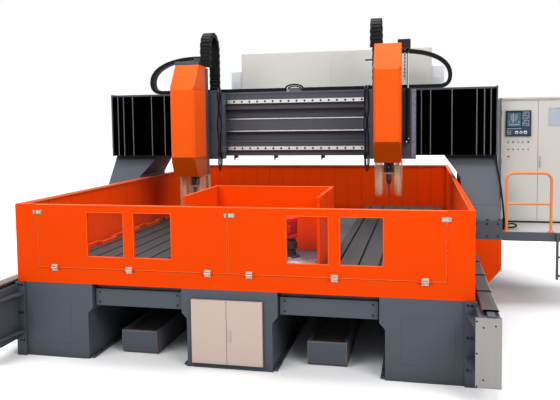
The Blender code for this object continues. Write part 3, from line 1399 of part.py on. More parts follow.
def build_tool(side):
    """The clear guard, and the spindle nose with its chuck and drill."""
    bottom = RAM_LOWEST_BOTTOM + RAM_RISE[side] - SEAT_GAP
    x = (HEAD_X[side] - GUARD_HALF_WIDTH, HEAD_X[side] + GUARD_HALF_WIDTH)
    y = (behind(GUARD_FRONT), behind(GUARD_BACK))

    def inset_block(name, inset, z):
        return block(name, (x[0] + inset, y[0] + inset, z[0]), (x[1] - inset, y[1] - inset, z[1]), CLEAR)

    hood_inset = GUARD_HALF_WIDTH - COVER_HALF_WIDTH + 2 * GUARD_WALL
    hood_bottom = bottom - GUARD_WALL
    guard = inset_block(f"{side}_spindle_guard", 0, (bottom - GUARD_DROP, bottom))
    cut(
        guard,
        inset_block(f"{side}_guard_space", GUARD_WALL, (bottom - GUARD_DROP - BITE, hood_bottom)),
        inset_block(f"{side}_guard_top_hole", hood_inset, (hood_bottom - BITE, bottom + BITE)),
    )
    chuck_end = -HOLDER_LENGTH - CHUCK_LENGTH
    drill_end = chuck_end - DRILL_LENGTH
    nose = [
        (0, 0), (HOLDER_RADIUS, 0), (HOLDER_RADIUS, -HOLDER_LENGTH),
        (CHUCK_RADIUS, -HOLDER_LENGTH - CHUCK_COLLAR), (CHUCK_NOSE_RADIUS, chuck_end),
        (DRILL_RADIUS, chuck_end), (DRILL_RADIUS, drill_end), (0, drill_end - DRILL_POINT),
    ]
    spindle = turned(f"{side}_spindle", nose, (HEAD_X[side], behind(SPINDLE_BEHIND), bottom), STEEL)
    return guard, spindle


def build_ram_chain(side):
    """Loop from the saddle's shelf, over, and down to the top of the ram's slide."""
    top = RAM_CHAIN_LOWEST_TOP + RAM_RISE[side] / 2
    radius = (RAM_CHAIN_FAR - RAM_CHAIN_NEAR) / 2
    middle = behind((RAM_CHAIN_FAR + RAM_CHAIN_NEAR) / 2)
    centre = Vector((middle, top - radius - RAM_CHAIN_THICKNESS / 2))
    far_end = BEAM_TOP + RUNNING_CLEARANCE + CHAIN_SHELF_HEIGHT + SEAT_GAP
    near_end = RAM_LOWEST_BOTTOM + RAM_RISE[side] + COVER_HEIGHT - SLIDE_DROP + SEAT_GAP
    arc_steps = 24
    arc = [
        centre + Vector((math.cos(math.pi * step / arc_steps), math.sin(math.pi * step / arc_steps))) * radius
        for step in range(arc_steps + 1)
    ]
    path = [Vector((centre.x + radius, far_end)), *arc, Vector((centre.x - radius, near_end))]
    outline = chain_outline(evenly_spaced(path, LINK_PITCH), RAM_CHAIN_THICKNESS)
    x = spread(-RAM_CHAIN_X - RAM_CHAIN_WIDTH / 2, -RAM_CHAIN_X + RAM_CHAIN_WIDTH / 2, HEAD_OUTWARD[side])
    x = [HEAD_X[side] + edge for edge in x]
    return profile(f"{side}_ram_chain", outline, "X", *x, BLACK, fill="NONE")


for side, sign in SIDES:
    saddle_pivot = pivot(f"{side}_saddle_pivot", (HEAD_X[side], behind(SADDLE_FRONT), BEAM_BOTTOM))
    ram_pivot = pivot(f"{side}_ram_pivot", (HEAD_X[side], behind(COVER_BACK), BEAM_BOTTOM))
    spindle_pivot = pivot(f"{side}_spindle_pivot", (HEAD_X[side], behind(SPINDLE_BEHIND), BEAM_BOTTOM))
    cover, slide = build_ram(side)
    guard, spindle = build_tool(side)
    ride_on(spindle_pivot, spindle)
    ride_on(ram_pivot, cover, slide, guard, spindle_pivot)
    ride_on(saddle_pivot, build_saddle(side), build_ram_chain(side), ram_pivot)
    ride_on(gantry, saddle_pivot)
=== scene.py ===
"""Looks of the gantry drilling machine: finishes, fine pieces, camera and light.

Places are in metres. "Behind" counts from the plane of the front panel towards the back.
"""

import math
import random

import bmesh
import bpy
from mathutils import Matrix, Vector


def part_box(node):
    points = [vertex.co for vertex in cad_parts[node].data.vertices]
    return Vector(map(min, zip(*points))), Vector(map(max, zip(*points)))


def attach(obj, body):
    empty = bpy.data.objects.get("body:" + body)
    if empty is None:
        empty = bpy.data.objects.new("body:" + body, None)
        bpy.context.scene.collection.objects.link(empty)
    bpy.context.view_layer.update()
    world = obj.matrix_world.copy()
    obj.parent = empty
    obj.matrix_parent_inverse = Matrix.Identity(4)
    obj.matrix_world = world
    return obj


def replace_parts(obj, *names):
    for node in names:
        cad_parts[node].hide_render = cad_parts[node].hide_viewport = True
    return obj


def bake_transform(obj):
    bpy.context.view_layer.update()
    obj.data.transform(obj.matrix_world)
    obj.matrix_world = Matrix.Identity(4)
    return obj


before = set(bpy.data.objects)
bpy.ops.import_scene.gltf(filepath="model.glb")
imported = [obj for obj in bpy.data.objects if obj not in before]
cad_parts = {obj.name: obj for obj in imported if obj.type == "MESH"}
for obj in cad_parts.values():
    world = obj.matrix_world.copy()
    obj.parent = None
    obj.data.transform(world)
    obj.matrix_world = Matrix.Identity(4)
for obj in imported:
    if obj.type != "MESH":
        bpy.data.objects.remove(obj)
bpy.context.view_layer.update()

SIDES = (("left", -1), ("right", 1))
FRONT_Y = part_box("middle_base_block")[0].y
FLOOR_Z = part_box("middle_base_block")[0].z


def behind(distance):
    """The Y of a distance behind the front panel's plane."""
    return FRONT_Y + distance


def add_to_scene(name, data):
    """A new object in the scene, with a mesh, curve, lamp or camera."""
    made = bpy.data.objects.new(name, data)
    bpy.context.scene.collection.objects.link(made)
    return made


# Camera: fitted to the tub, the base and the gantry in the photograph

FRAME_WIDTH, FRAME_HEIGHT = 560, 400
FOCAL_PIXELS = 664.66
CENTRE_PIXEL = (267.31, 168.99)
CAMERA_YAW = 0.22782
CAMERA_PITCH = 0.06978
CAMERA_ROLL = -0.01367
CAMERA_PLACE = (2.0628, -6.9157, 2.7233)
SENSOR_MM = 36.0
FARTHEST_SEEN = 200.0


def add_camera():
    forward = Vector((
        -math.sin(CAMERA_YAW) * math.cos(CAMERA_PITCH),
        math.cos(CAMERA_YAW) * math.cos(CAMERA_PITCH),
        -math.sin(CAMERA_PITCH),
    ))
    level = Vector((math.cos(CAMERA_YAW), math.sin(CAMERA_YAW), 0.0))
    upright = level.cross(forward)
    right = level * math.cos(CAMERA_ROLL) + upright * math.sin(CAMERA_ROLL)
    up = upright * math.cos(CAMERA_ROLL) - level * math.sin(CAMERA_ROLL)
    data = bpy.data.cameras.new("photo_camera")
    data.sensor_width = SENSOR_MM
    data.lens = FOCAL_PIXELS / FRAME_WIDTH * SENSOR_MM
    data.shift_x = (FRAME_WIDTH / 2 - CENTRE_PIXEL[0]) / FRAME_WIDTH
    data.shift_y = (CENTRE_PIXEL[1] - FRAME_HEIGHT / 2) / FRAME_WIDTH
    data.clip_end = FARTHEST_SEEN
    camera = add_to_scene("photo_camera", data)
    turn = Matrix((right, up, -forward)).transposed().to_4x4()
    x, y, z = CAMERA_PLACE
    camera.matrix_world = Matrix.Translation((x, behind(y), z)) @ turn
    bpy.context.scene.camera = camera


add_camera()


# Light: three soft lamps, and a world that shows white but lights the object softly

LAMPS = (
    # name, place, what it points at, size, power
    ("key", (-5.0, -11.0, 10.5), (0.0, -0.5, 1.4), (7.0, 5.0), 810),
    ("fill", (8.0, -10.0, 8.5), (0.5, -0.5, 1.4), (6.0, 5.0), 700),
    ("top", (0.0, 1.0, 11.5), (0.0, 0.5, 0.0), (9.0, 9.0), 1560),
)
SKY_TINT, SKY_STRENGTH = (0.93, 0.96, 1.0, 1.0), 0.43


class Wiring:
    """The shader nodes of one material or world."""

    def __init__(self, owner):
        owner.use_nodes = True
        self.nodes, self.links = owner.node_tree.nodes, owner.node_tree.links
        self.shader = self.nodes.get("Principled BSDF")

    def feed(self, socket, value):
        """Sets an input to a plain value, or links it to an output."""
        if isinstance(value, bpy.types.NodeSocket):
            self.links.new(value, socket)
        else:
            socket.default_value = value

    def add(self, kind, **values):
        """A node. Names in small letters are its settings, the others its inputs, with _ for a space."""
        made = self.nodes.new(f"ShaderNode{kind}")
        for name, value in values.items():
            if name[0].islower():
                setattr(made, name, value)
        for name, value in values.items():
            if name[0].isupper():
                self.feed(made.inputs[name.replace("_", " ")], value)
        return made

    def math(self, operation, first, second):
        made = self.add("Math", operation=operation)
        self.feed(made.inputs[0], first)
        self.feed(made.inputs[1], second)
        return made.outputs["Value"]

    def spread(self, value, **limits):
        """The value moved from one range to another."""
        return self.add("MapRange", Value=value, **limits).outputs["Result"]

    def mix(self, factor, first, second, blend="MIX"):
        """Two colours, or the outputs that give them, mixed by a factor."""
        made = self.add("Mix", data_type="RGBA", blend_type=blend, Factor=factor, A=first, B=second)
        return made.outputs["Result"]

    def place(self, kind="Object"):
        return self.add("TexCoord").outputs[kind]

    def height(self):
        """The share of the object's height, from 0 at its foot to 1 at its top."""
        return self.add("SeparateXYZ", Vector=self.place("Generated")).outputs["Z"]

    def seen_directly(self):
        """One where the camera, a gloss or a clear sheet looks at the surface, else nought."""
        ray = self.add("LightPath").outputs
        either = self.math("MAXIMUM", ray["Is Camera Ray"], ray["Is Glossy Ray"])
        return self.math("MAXIMUM", either, ray["Is Transmission Ray"])


def add_studio():
    scene = bpy.context.scene
    scene.view_settings.view_transform = "Standard"
    scene.view_settings.look = "None"
    world = bpy.data.worlds.new("studio")
    scene.world = world
    wiring = Wiring(world)
    wiring.nodes.clear()
    soft = wiring.add("Background", Color=SKY_TINT, Strength=SKY_STRENGTH)
    white = wiring.add("Background", Color=(1.0, 1.0, 1.0, 1.0), Strength=1.0)
    choose = wiring.add("MixShader", Fac=wiring.seen_directly())
    wiring.feed(choose.inputs[1], soft.outputs["Background"])
    wiring.feed(choose.inputs[2], white.outputs["Background"])
    wiring.add("OutputWorld", Surface=choose.outputs["Shader"])
    for name, place, target, size, power in LAMPS:
        data = bpy.data.lights.new(name, "AREA")
        data.shape = "RECTANGLE"
        data.size, data.size_y = size
        data.energy = power
        lamp = add_to_scene(name, data)
        lamp.location = place
        lamp.rotation_euler = (Vector(target) - Vector(place)).to_track_quat("-Z", "Y").to_euler()


add_studio()


# Materials

LINEAR = {
    "grey": (0.070, 0.081, 0.102),
    "light_grey": (0.17, 0.185, 0.21),
    "deck": (0.55, 0.55, 0.54),
    "orange": (0.97, 0.066, 0.0005),
    "key": (0.40, 0.47, 0.56),
    "conveyor": (0.165, 0.140, 0.158),
    "dark_strip": (0.115, 0.112, 0.112),
    # a lighter orange for thin lines along edges: painted highlights
    "edge_highlight_orange": (1.0, 0.15, 0.02),
    # darker tints for the ram covers' brow and chin: painted shade
    "brow_shade_orange": (0.82, 0.092, 0.0),
    "chin_shade_orange": (0.48, 0.070, 0.001),
    # a lighter orange for the ram covers: painted light, for the light falling on them
    "lit_orange": (0.97, 0.120, 0.006),
    "pale_orange": (1.0, 0.24, 0.07),
    "beige": (0.60, 0.585, 0.545),
    "warm_beige": (0.66, 0.515, 0.445),
    "cooler": (0.68, 0.715, 0.73),
    "steel": (0.215, 0.204, 0.197),
    "bright": (0.64, 0.645, 0.64),
    "iron": (0.048, 0.050, 0.052),
    "black": (0.006, 0.006, 0.007),
    "cloth": (0.0012, 0.0012, 0.0014),
    "soft_black": (0.015, 0.015, 0.018),
    "hose": (0.012, 0.03, 0.07),
    "dull": (0.40, 0.385, 0.35),
    "hinge": (0.56, 0.50, 0.42),
    "rail_orange": (0.82, 0.25, 0.07),
    "blue_grey": (0.25, 0.30, 0.38),
    "window": (0.42, 0.48, 0.56),
    "clear": (0.80, 0.73, 0.50),
    "clear_edge": (0.62, 0.52, 0.26),
    "pane": (0.15, 0.16, 0.15),
    "panel": (0.012, 0.03, 0.075),
    "screen": (0.02, 0.075, 0.13),
    "screen_bar": (0.2, 0.25, 0.17),
    "white": (0.75, 0.76, 0.76),
    "green": (0.03, 0.42, 0.10),
    "red": (0.62, 0.02, 0.015),
    "rubber": (0.02, 0.02, 0.02),
    "chips": (0.35, 0.34, 0.33),
    "dirt": (0.11, 0.10, 0.085),
}
BROAD_NOISE = 1.9
GLOSS_SPREAD = 0.08
# Reach of the corner darkening, which is painted shade
GRIME_AND_SHADE_REACH = 0.12
FINE_RELIEF = 0.002
RAY_SAMPLES = 4


def finish(
    name, colour, roughness, metallic=0.0, mottling=0.07, grain=120.0, relief=0.05, stretch=(1, 1, 1),
    radius=0.003, worn=None, grime_and_shade=0.25, shine=0.35,
):
    """A procedural finish: varied tone, grain with relief, rounded and worn edges, and corners darkened by
    ambient occlusion, which is painted shade that also stands for grime.
    """
    made = bpy.data.materials.new(name)
    wiring = Wiring(made)
    shader = wiring.shader.inputs
    shader["Metallic"].default_value = metallic
    shader["Specular IOR Level"].default_value = shine
    scaled = wiring.add("Mapping", Vector=wiring.place(), Scale=stretch).outputs["Vector"]
    broad = wiring.add("TexNoise", Vector=scaled, Scale=BROAD_NOISE, Detail=4.0).outputs["Fac"]
    fine = wiring.add("TexNoise", Vector=scaled, Scale=grain, Detail=3.0).outputs["Fac"]
    darker = (*[c * (1 - mottling) for c in colour], 1.0)
    lighter = (*[min(c * (1 + mottling), 1.0) for c in colour], 1.0)
    surface = wiring.mix(broad, darker, lighter)
    edge = wiring.add("Bevel", samples=RAY_SAMPLES, Radius=radius).outputs["Normal"]
    if worn:
        turn = wiring.add("VectorMath", operation="DOT_PRODUCT")
        wiring.feed(turn.inputs[0], edge)
        wiring.feed(turn.inputs[1], wiring.add("NewGeometry").outputs["Normal"])
        rubbed = wiring.spread(turn.outputs["Value"], From_Min=0.99, From_Max=0.75, To_Max=0.55)
        surface = wiring.mix(rubbed, surface, (*worn, 1.0))
    if grime_and_shade:
        # Painted shade: the colour darkens where ambient occlusion finds surfaces close by, in corners and
        # recesses. It also stands for grime there.
        corner = wiring.add("AmbientOcclusion", samples=RAY_SAMPLES, Distance=GRIME_AND_SHADE_REACH)
        dirt = wiring.spread(corner.outputs["AO"], From_Min=0.35, From_Max=0.95, To_Min=1.0 - grime_and_shade)
        surface = wiring.mix(1.0, surface, dirt, "MULTIPLY")
    wiring.feed(shader["Base Color"], surface)
    smoothest = max(roughness - GLOSS_SPREAD, 0.02)
    gloss = wiring.spread(broad, To_Min=smoothest, To_Max=roughness + GLOSS_SPREAD)
    wiring.feed(shader["Roughness"], gloss)
    bump = wiring.add("Bump", Strength=relief, Distance=FINE_RELIEF, Height=fine, Normal=edge)
    wiring.feed(shader["Normal"], bump.outputs["Normal"])
    return made


def sheet_finish(name, colour, roughness, alpha, streaks=0.0, fade=0.0):
    """A see-through sheet, with faint smears running down it, clearer towards its bottom edge."""
    made = finish(name, colour, roughness, mottling=0.05, grain=60, relief=0.02, stretch=(6, 6, 0.6), grime_and_shade=0)
    wiring = Wiring(made)
    if not streaks:
        wiring.feed(wiring.shader.inputs["Alpha"], alpha)
        return made
    scaled = wiring.add("Mapping", Vector=wiring.place(), Scale=(22, 22, 1.5)).outputs["Vector"]
    smear = wiring.add("TexNoise", Vector=scaled, Scale=1.0, Detail=2.0).outputs["Fac"]
    level = wiring.spread(smear, From_Min=0.35, From_Max=0.7, To_Min=alpha, To_Max=alpha + streaks)
    ramp = wiring.spread(wiring.height(), From_Max=fade, To_Min=0.15)
    wiring.feed(wiring.shader.inputs["Alpha"], wiring.math("MULTIPLY", level, ramp))
    return made


def cover_shade_bands(material, bands):
    """Painted shade on a cover's slanting plates, as darker bands by height: (share of the height, tint below
    it, tint above it).
    """
    wiring = Wiring(material)
    colour = wiring.shader.inputs["Base Color"]
    height = wiring.height()
    for share, below, above in bands:
        paint = colour.links[0].from_socket
        tints = [(*LINEAR[tint], 1) if tint else paint for tint in (below, above)]
        ramp = wiring.spread(height, From_Min=share - 0.003, From_Max=share + 0.003)
        wiring.feed(colour, wiring.mix(ramp, *tints))


def lit(name, colour, strength):
    """A screen that glows a little, with soft bands across it."""
    made = finish(name, colour, 0.2, mottling=0.4, grain=50, relief=0.0, grime_and_shade=0)
    shader = made.node_tree.nodes["Principled BSDF"]
    shader.inputs["Emission Color"].default_value = (*colour, 1.0)
    shader.inputs["Emission Strength"].default_value = strength
    return made


def checkered(name):
    """Grey tread plate with a raised diamond pattern."""
    made = finish(name, LINEAR["deck"], 0.45, 0.4, mottling=0.3, relief=0.08)
    wiring = Wiring(made)
    turned = wiring.add("Mapping", Vector=wiring.place(), Rotation=(0, 0, math.radians(45))).outputs["Vector"]
    weave = wiring.add("TexBrick", Vector=turned, Scale=16.0, Mortar_Size=0.07, Mortar_Smooth=0.4)
    normal = wiring.shader.inputs["Normal"]
    tread = wiring.add(
        "Bump", Strength=0.5, Distance=0.003, Height=weave.outputs["Fac"], Normal=normal.links[0].from_socket,
    )
    wiring.feed(normal, tread.outputs["Normal"])
    return made


GREY = finish("grey_paint", LINEAR["grey"], 0.5, worn=(0.15, 0.16, 0.185), grime_and_shade=0.35)
LIGHT_GREY = finish("light_grey_paint", LINEAR["light_grey"], 0.5, worn=(0.28, 0.29, 0.31))
ORANGE = finish(
    "orange_paint", LINEAR["orange"], 0.4, mottling=0.03, worn=LINEAR["pale_orange"], grime_and_shade=0.35, relief=0.03,
    shine=0.06,
)
# The ram covers: a lighter copy of the orange paint, which is painted light, with bands of painted shade at
# the chin and brow.
LIT_COVER_ORANGE = finish(
    "cover_orange_painted_light_and_shade", LINEAR["lit_orange"], 0.36, mottling=0.05, grain=45, worn=LINEAR["pale_orange"],
    relief=0.05, shine=0.12,
)
# Painted shade: a dark band at the chin, which faces down, and a darker band at the brow.
cover_shade_bands(LIT_COVER_ORANGE, ((0.177, "chin_shade_orange", None), (0.771, None, "brow_shade_orange")))
# Thin lighter lines along the doors' edges, and the window rims: painted highlights where light catches the
# edges.
EDGE_HIGHLIGHT_ORANGE = finish("painted_edge_highlight_orange", LINEAR["edge_highlight_orange"], 0.4, mottling=0.05, grime_and_shade=0.1, shine=0.2)
# Pale orange lines on the doors' tops, the wall lips, the fence and the splash plates: painted highlights.
PALE_ORANGE = finish("painted_highlight_pale_orange", LINEAR["pale_orange"], 0.4, mottling=0.05, grime_and_shade=0.1, shine=0.2)
RAIL_ORANGE = finish("handrail_paint", LINEAR["rail_orange"], 0.35, mottling=0.05, grime_and_shade=0.25, shine=0.3)
BEIGE = finish(
    "beige_paint", LINEAR["beige"], 0.42, mottling=0.03, worn=(0.66, 0.64, 0.6), grime_and_shade=0.3, relief=0.03,
)
WARM_BEIGE = finish(
    "warm_beige_paint", LINEAR["warm_beige"], 0.42, mottling=0.03, worn=(0.72, 0.6, 0.52), grime_and_shade=0.3,
    relief=0.03,
)
COOLER = finish("cooler_paint", LINEAR["cooler"], 0.4, mottling=0.03)
STAINLESS = finish(
    "stainless_steel", LINEAR["steel"], 0.38, 1.0, mottling=0.12, grain=40, relief=0.05, stretch=(14, 1, 1),
    worn=(0.5, 0.49, 0.48),
)
BRIGHT = finish(
    "ground_steel", LINEAR["bright"], 0.3, 0.85, grain=90, relief=0.02, stretch=(1, 12, 12), grime_and_shade=0.1,
)
IRON = finish(
    "ground_cast_iron", LINEAR["iron"], 0.6, 0.05, mottling=0.3, grain=70, relief=0.06, stretch=(1, 6, 1),
    shine=0.1,
)
BLACK = finish("black_plastic", LINEAR["black"], 0.55, mottling=0.2, grain=150, relief=0.05, shine=0.12)
BELLOWS = finish(
    "bellows_cloth", LINEAR["cloth"], 0.85, mottling=0.25, grain=260, relief=0.2, radius=0.001, shine=0.0,
)
SCREW_BLACK = finish("blackened_screw", LINEAR["soft_black"], 0.35, 0.6, grain=200, relief=0.02, grime_and_shade=0)
HOSE = finish("blue_black_hose", LINEAR["hose"], 0.4, mottling=0.15, grain=90, relief=0.05)
CLEAR = sheet_finish("clear_guard_sheet", LINEAR["clear"], 0.15, 0.10, streaks=0.42, fade=0.55)
CLEARER = sheet_finish("clear_guard_middle", LINEAR["clear"], 0.12, 0.01, streaks=0.04, fade=0.6)
STRIP_EDGE = sheet_finish("clear_strip_edge", LINEAR["clear_edge"], 0.2, 0.5, streaks=0.4, fade=0.55)
PANE = sheet_finish("window_pane", LINEAR["pane"], 0.06, 0.02)
CHROME = finish(
    "chromed_rod", LINEAR["bright"], 0.16, 1.0, grain=60, relief=0.01, stretch=(1, 1, 8), grime_and_shade=0.05,
)
DRILL_STEEL = finish(
    "drill_steel", LINEAR["iron"], 0.28, 0.9, mottling=0.15, grain=120, relief=0.03, grime_and_shade=0.05,
)
PANEL = finish("panel_face", LINEAR["panel"], 0.3, mottling=0.1, grain=200, relief=0.02)
WHITE = finish("white_plastic", LINEAR["white"], 0.4, mottling=0.03)
GREEN = finish("green_button", LINEAR["green"], 0.25, mottling=0.05, grime_and_shade=0)
RED = finish("red_paint", LINEAR["red"], 0.3, mottling=0.08)
RUBBER = finish("rubber", LINEAR["rubber"], 0.7, mottling=0.2, relief=0.1)
CHIPS = finish("steel_chips", LINEAR["chips"], 0.35, 0.8, mottling=0.3, grain=30, relief=0.2, grime_and_shade=0)
DULL = finish("dull_zinc", LINEAR["dull"], 0.42, 0.6, mottling=0.12, grain=80, relief=0.05, grime_and_shade=0.15)
HINGE = finish("plated_hinge", LINEAR["hinge"], 0.38, 0.35, mottling=0.12, grain=80, relief=0.05, grime_and_shade=0.15)
CONVEYOR_GREY = finish(
    "dusty_grey_paint", LINEAR["conveyor"], 0.6, mottling=0.12, worn=(0.25, 0.23, 0.22), grime_and_shade=0.2,
)
DARK_STRIP = finish("bellows_edge_steel", LINEAR["dark_strip"], 0.5, 0.5, grain=60, relief=0.03, grime_and_shade=0.2)
KEY_GREY = finish("key_caps", LINEAR["key"], 0.4, mottling=0.05, grime_and_shade=0)
BLUE_GREY = finish("blue_grey_paint", LINEAR["blue_grey"], 0.45, mottling=0.06, worn=(0.34, 0.37, 0.42))
WINDOW_GLASS = finish(
    "cabinet_window_glass", LINEAR["window"], 0.12, mottling=0.25, grain=8, relief=0.0, grime_and_shade=0,
)
DIRTY_STEEL = finish("dirty_steel", LINEAR["dirt"], 0.6, 0.5, mottling=0.35, grain=35, relief=0.3)
TREAD = checkered("tread_plate")
SCREEN = lit("screen_glow", LINEAR["screen"], 0.5)
SCREEN_BAR = lit("screen_bars", LINEAR["screen_bar"], 0.4)


# Finishes of the nodes that show as they are

NODE_FINISH = {
    GREY: (
        "left_base_block", "middle_base_block", "right_base_block", "tub_floor", "left_side_bed",
        "right_side_bed", "left_leg", "right_leg", "cross_beam", "left_saddle", "right_saddle",
        "left_ram_slide", "right_ram_slide", "operator_platform", "platform_ladder",
    ),
    IRON: ("left_work_table", "right_work_table"),
    CONVEYOR_GREY: ("left_chip_conveyor", "right_chip_conveyor"),
    ORANGE: (
        "front_panel_frame", "left_guard_wall", "right_guard_wall", "back_guard_wall", "inner_fence",
        "left_front_door", "right_front_door", "left_drive_guard", "right_drive_guard",
    ),
    BEIGE: (
        "rear_electrical_cabinet", "control_cabinet", "control_cabinet_left_door",
        "control_cabinet_right_door",
    ),
    WARM_BEIGE: ("low_cabinet_box", "low_cabinet_left_door", "low_cabinet_right_door"),
    LIT_COVER_ORANGE: ("left_ram_cover", "right_ram_cover"),
    RAIL_ORANGE: ("platform_handrail",),
    BLACK: (
        "cable_gland", "beam_end_cable", "left_beam_chain", "right_beam_chain", "left_ram_chain",
        "right_ram_chain", "left_bellows", "right_bellows",
    ),
    STAINLESS: (
        "left_front_way_cover", "right_front_way_cover", "left_back_way_cover", "right_back_way_cover",
    ),
    BRIGHT: ("left_spindle", "right_spindle"),
    PANE: ("left_door_window", "right_door_window"),
    CLEAR: ("left_spindle_guard", "right_spindle_guard"),
}
for node_finish, node_names in NODE_FINISH.items():
    for node_name in node_names:
        node_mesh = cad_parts[node_name].data
        node_mesh.materials.clear()
        node_mesh.materials.append(node_finish)


# Pieces

AXES = {
    "X": Matrix(((0, 0, 1), (1, 0, 0), (0, 1, 0))),
    "Y": Matrix(((1, 0, 0), (0, 0, -1), (0, 1, 0))),
    "Z": Matrix.Identity(3),
}
OUT = Vector((0, -1, 0))
UP = Vector((0, 0, 1))
HAIR = 0.0002  # between a sheet and what it lies on


class Piece:
    """Shapes gathered into one mesh, which then gets rounded edges, a finish and a body to ride on."""

    def __init__(self, name):
        self.name = name
        self.shape = bmesh.new()

    def box(self, low, high):
        low, high = Vector(low), Vector(high)
        made = bmesh.ops.create_cube(self.shape, size=1.0)["verts"]
        bmesh.ops.scale(self.shape, vec=high - low, verts=made)
        bmesh.ops.translate(self.shape, vec=(low + high) / 2, verts=made)
        return self

    def rod(self, start, end, radius, end_radius=None, sides=16):
        start, end = Vector(start), Vector(end)
        made = bmesh.ops.create_cone(
            self.shape, cap_ends=True, segments=sides, radius1=radius,
            radius2=radius if end_radius is None else end_radius, depth=(end - start).length,
        )["verts"]
        turn = (end - start).to_track_quat("Z", "Y").to_matrix().to_4x4()
        bmesh.ops.transform(self.shape, matrix=Matrix.Translation((start + end) / 2) @ turn, verts=made)
        return self

    def walls(self, low_end, high_end):
        """Faces between two matching rings of corners."""
        count = len(low_end)
        faces = []
        for index in range(count):
            after = (index + 1) % count
            corners = low_end[index], high_end[index], high_end[after], low_end[after]
            faces.append(self.shape.faces.new(corners))
        return faces

    def between(self, near, far):
        """A closed solid between two matching rings of points."""
        ends = [[self.shape.verts.new(point) for point in ring] for ring in (near, far)]
        faces = [self.shape.faces.new(ends[0]), self.shape.faces.new(ends[1][::-1])]
        faces += self.walls(*ends)
        bmesh.ops.recalc_face_normals(self.shape, faces=faces)
        return self

    def prism(self, outline, along, start, end):
        """An outline in the two axes across "along", in X, Y, Z order, run from start to end."""
        turn = AXES[along]
        ends = []
        for level in (start, end):
            depth = -level if along == "Y" else level
            ends.append([turn @ Vector((a, b, depth)) for a, b in outline])
        return self.between(*ends)

    def turned(self, outline, centre, along="Z", sides=24):
        """A closed (radius, height) outline turned about an axis through centre."""
        place = Matrix.Translation(Vector(centre)) @ AXES[along].to_4x4()
        rings = []
        for step in range(sides):
            angle = 2 * math.pi * step / sides
            ring = [place @ Vector((r * math.cos(angle), r * math.sin(angle), h)) for r, h in outline]
            rings.append([self.shape.verts.new(point) for point in ring])
        faces = []
        for step, ring in enumerate(rings):
            other = rings[(step + 1) % sides]
            for index in range(len(outline) - 1):
                corners = (ring[index], other[index], other[index + 1], ring[index + 1])
                faces.append(self.shape.faces.new(corners))
        faces.append(self.shape.faces.new([ring[0] for ring in rings]))
        faces.append(self.shape.faces.new([ring[-1] for ring in rings]))
        bmesh.ops.recalc_face_normals(self.shape, faces=faces)
        return self

    def bolt(self, place, facing, radius=0.012, height=0.009):
        """A hexagon head on a washer."""
        place, facing = Vector(place), Vector(facing)
        self.rod(place, place + facing * height * 0.25, radius * 1.35, sides=16)
        return self.rod(place + facing * height * 0.25, place + facing * height, radius, sides=6)

    def screw(self, place, facing, radius=0.008, height=0.004):
        """A low round head."""
        place, facing = Vector(place), Vector(facing)
        return self.rod(place, place + facing * height, radius, radius * 0.7, sides=12)

    def done(self, material, body, rounding=0.002, segments=2, smooth=40):
        """The finished piece."""
        mesh = bpy.data.meshes.new(self.name)
        self.shape.to_mesh(mesh)
        self.shape.free()
        mesh.shade_smooth()
        mesh.set_sharp_from_angle(angle=math.radians(smooth))
        mesh.materials.append(material)
        made = add_to_scene(self.name, mesh)
        if rounding:
            bevel = made.modifiers.new("rounding", "BEVEL")
            bevel.width = rounding
            bevel.segments = segments
            bevel.limit_method = "ANGLE"
            bevel.angle_limit = math.radians(smooth)
        if body:
            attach(made, body)
        return made


def boxes(name, material, body, rounding, *corners):
    """A piece made of boxes, each given by its lowest and highest corner."""
    piece = Piece(name)
    for low, high in corners:
        piece.box(low, high)
    return piece.done(material, body, rounding)


def smooth_points(route, steps=6):
    """Points on a smooth curve through given points."""
    route = [Vector(point) for point in route]
    ends = [route[0] * 2 - route[1], *route, route[-1] * 2 - route[-2]]
    points = []
    for before, start, end, after in zip(ends, ends[1:], ends[2:], ends[3:]):
        for step in range(steps):
            t = step / steps
            points.append(
                0.5 * (2 * start + (end - before) * t + (2 * before - 5 * start + 4 * end - after) * t * t
                       + (3 * start - before - 3 * end + after) * t**3)
            )
    return [*points, route[-1]]


def pipe(name, route, radius, material, body, steps=6):
    """A round tube, hose or wire through given points."""
    curve = bpy.data.curves.new(name, "CURVE")
    curve.dimensions = "3D"
    curve.bevel_depth = radius
    curve.bevel_resolution = 3
    curve.use_fill_caps = True
    spline = curve.splines.new("POLY")
    points = smooth_points(route, steps)
    spline.points.add(len(points) - 1)
    for point, place in zip(spline.points, points):
        point.co = (*place, 1.0)
    curve.materials.append(material)
    made = add_to_scene(name, curve)
    if body:
        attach(made, body)
        return made
    bpy.context.view_layer.update()
    mesh = bpy.data.meshes.new_from_object(made)
    bpy.data.objects.remove(made)
    return add_to_scene(name, mesh)


def pair(low, high, sign):
    """Two X limits on the side that the sign gives."""
    return (low, high) if sign > 0 else (-high, -low)


def even(low, high, count):
    return [low + (high - low) * step / count for step in range(count + 1)]


def round_vector(angle):
    """The unit vector at an angle in the level plane."""
    return Vector((math.cos(angle), math.sin(angle), 0))


# Front panel: hinges, latches, window frames

KNUCKLE_RADIUS = 0.0117
LEAF_HALF, LEAF_HEIGHT, LEAF_SHEET = 0.037, 0.036, 0.003


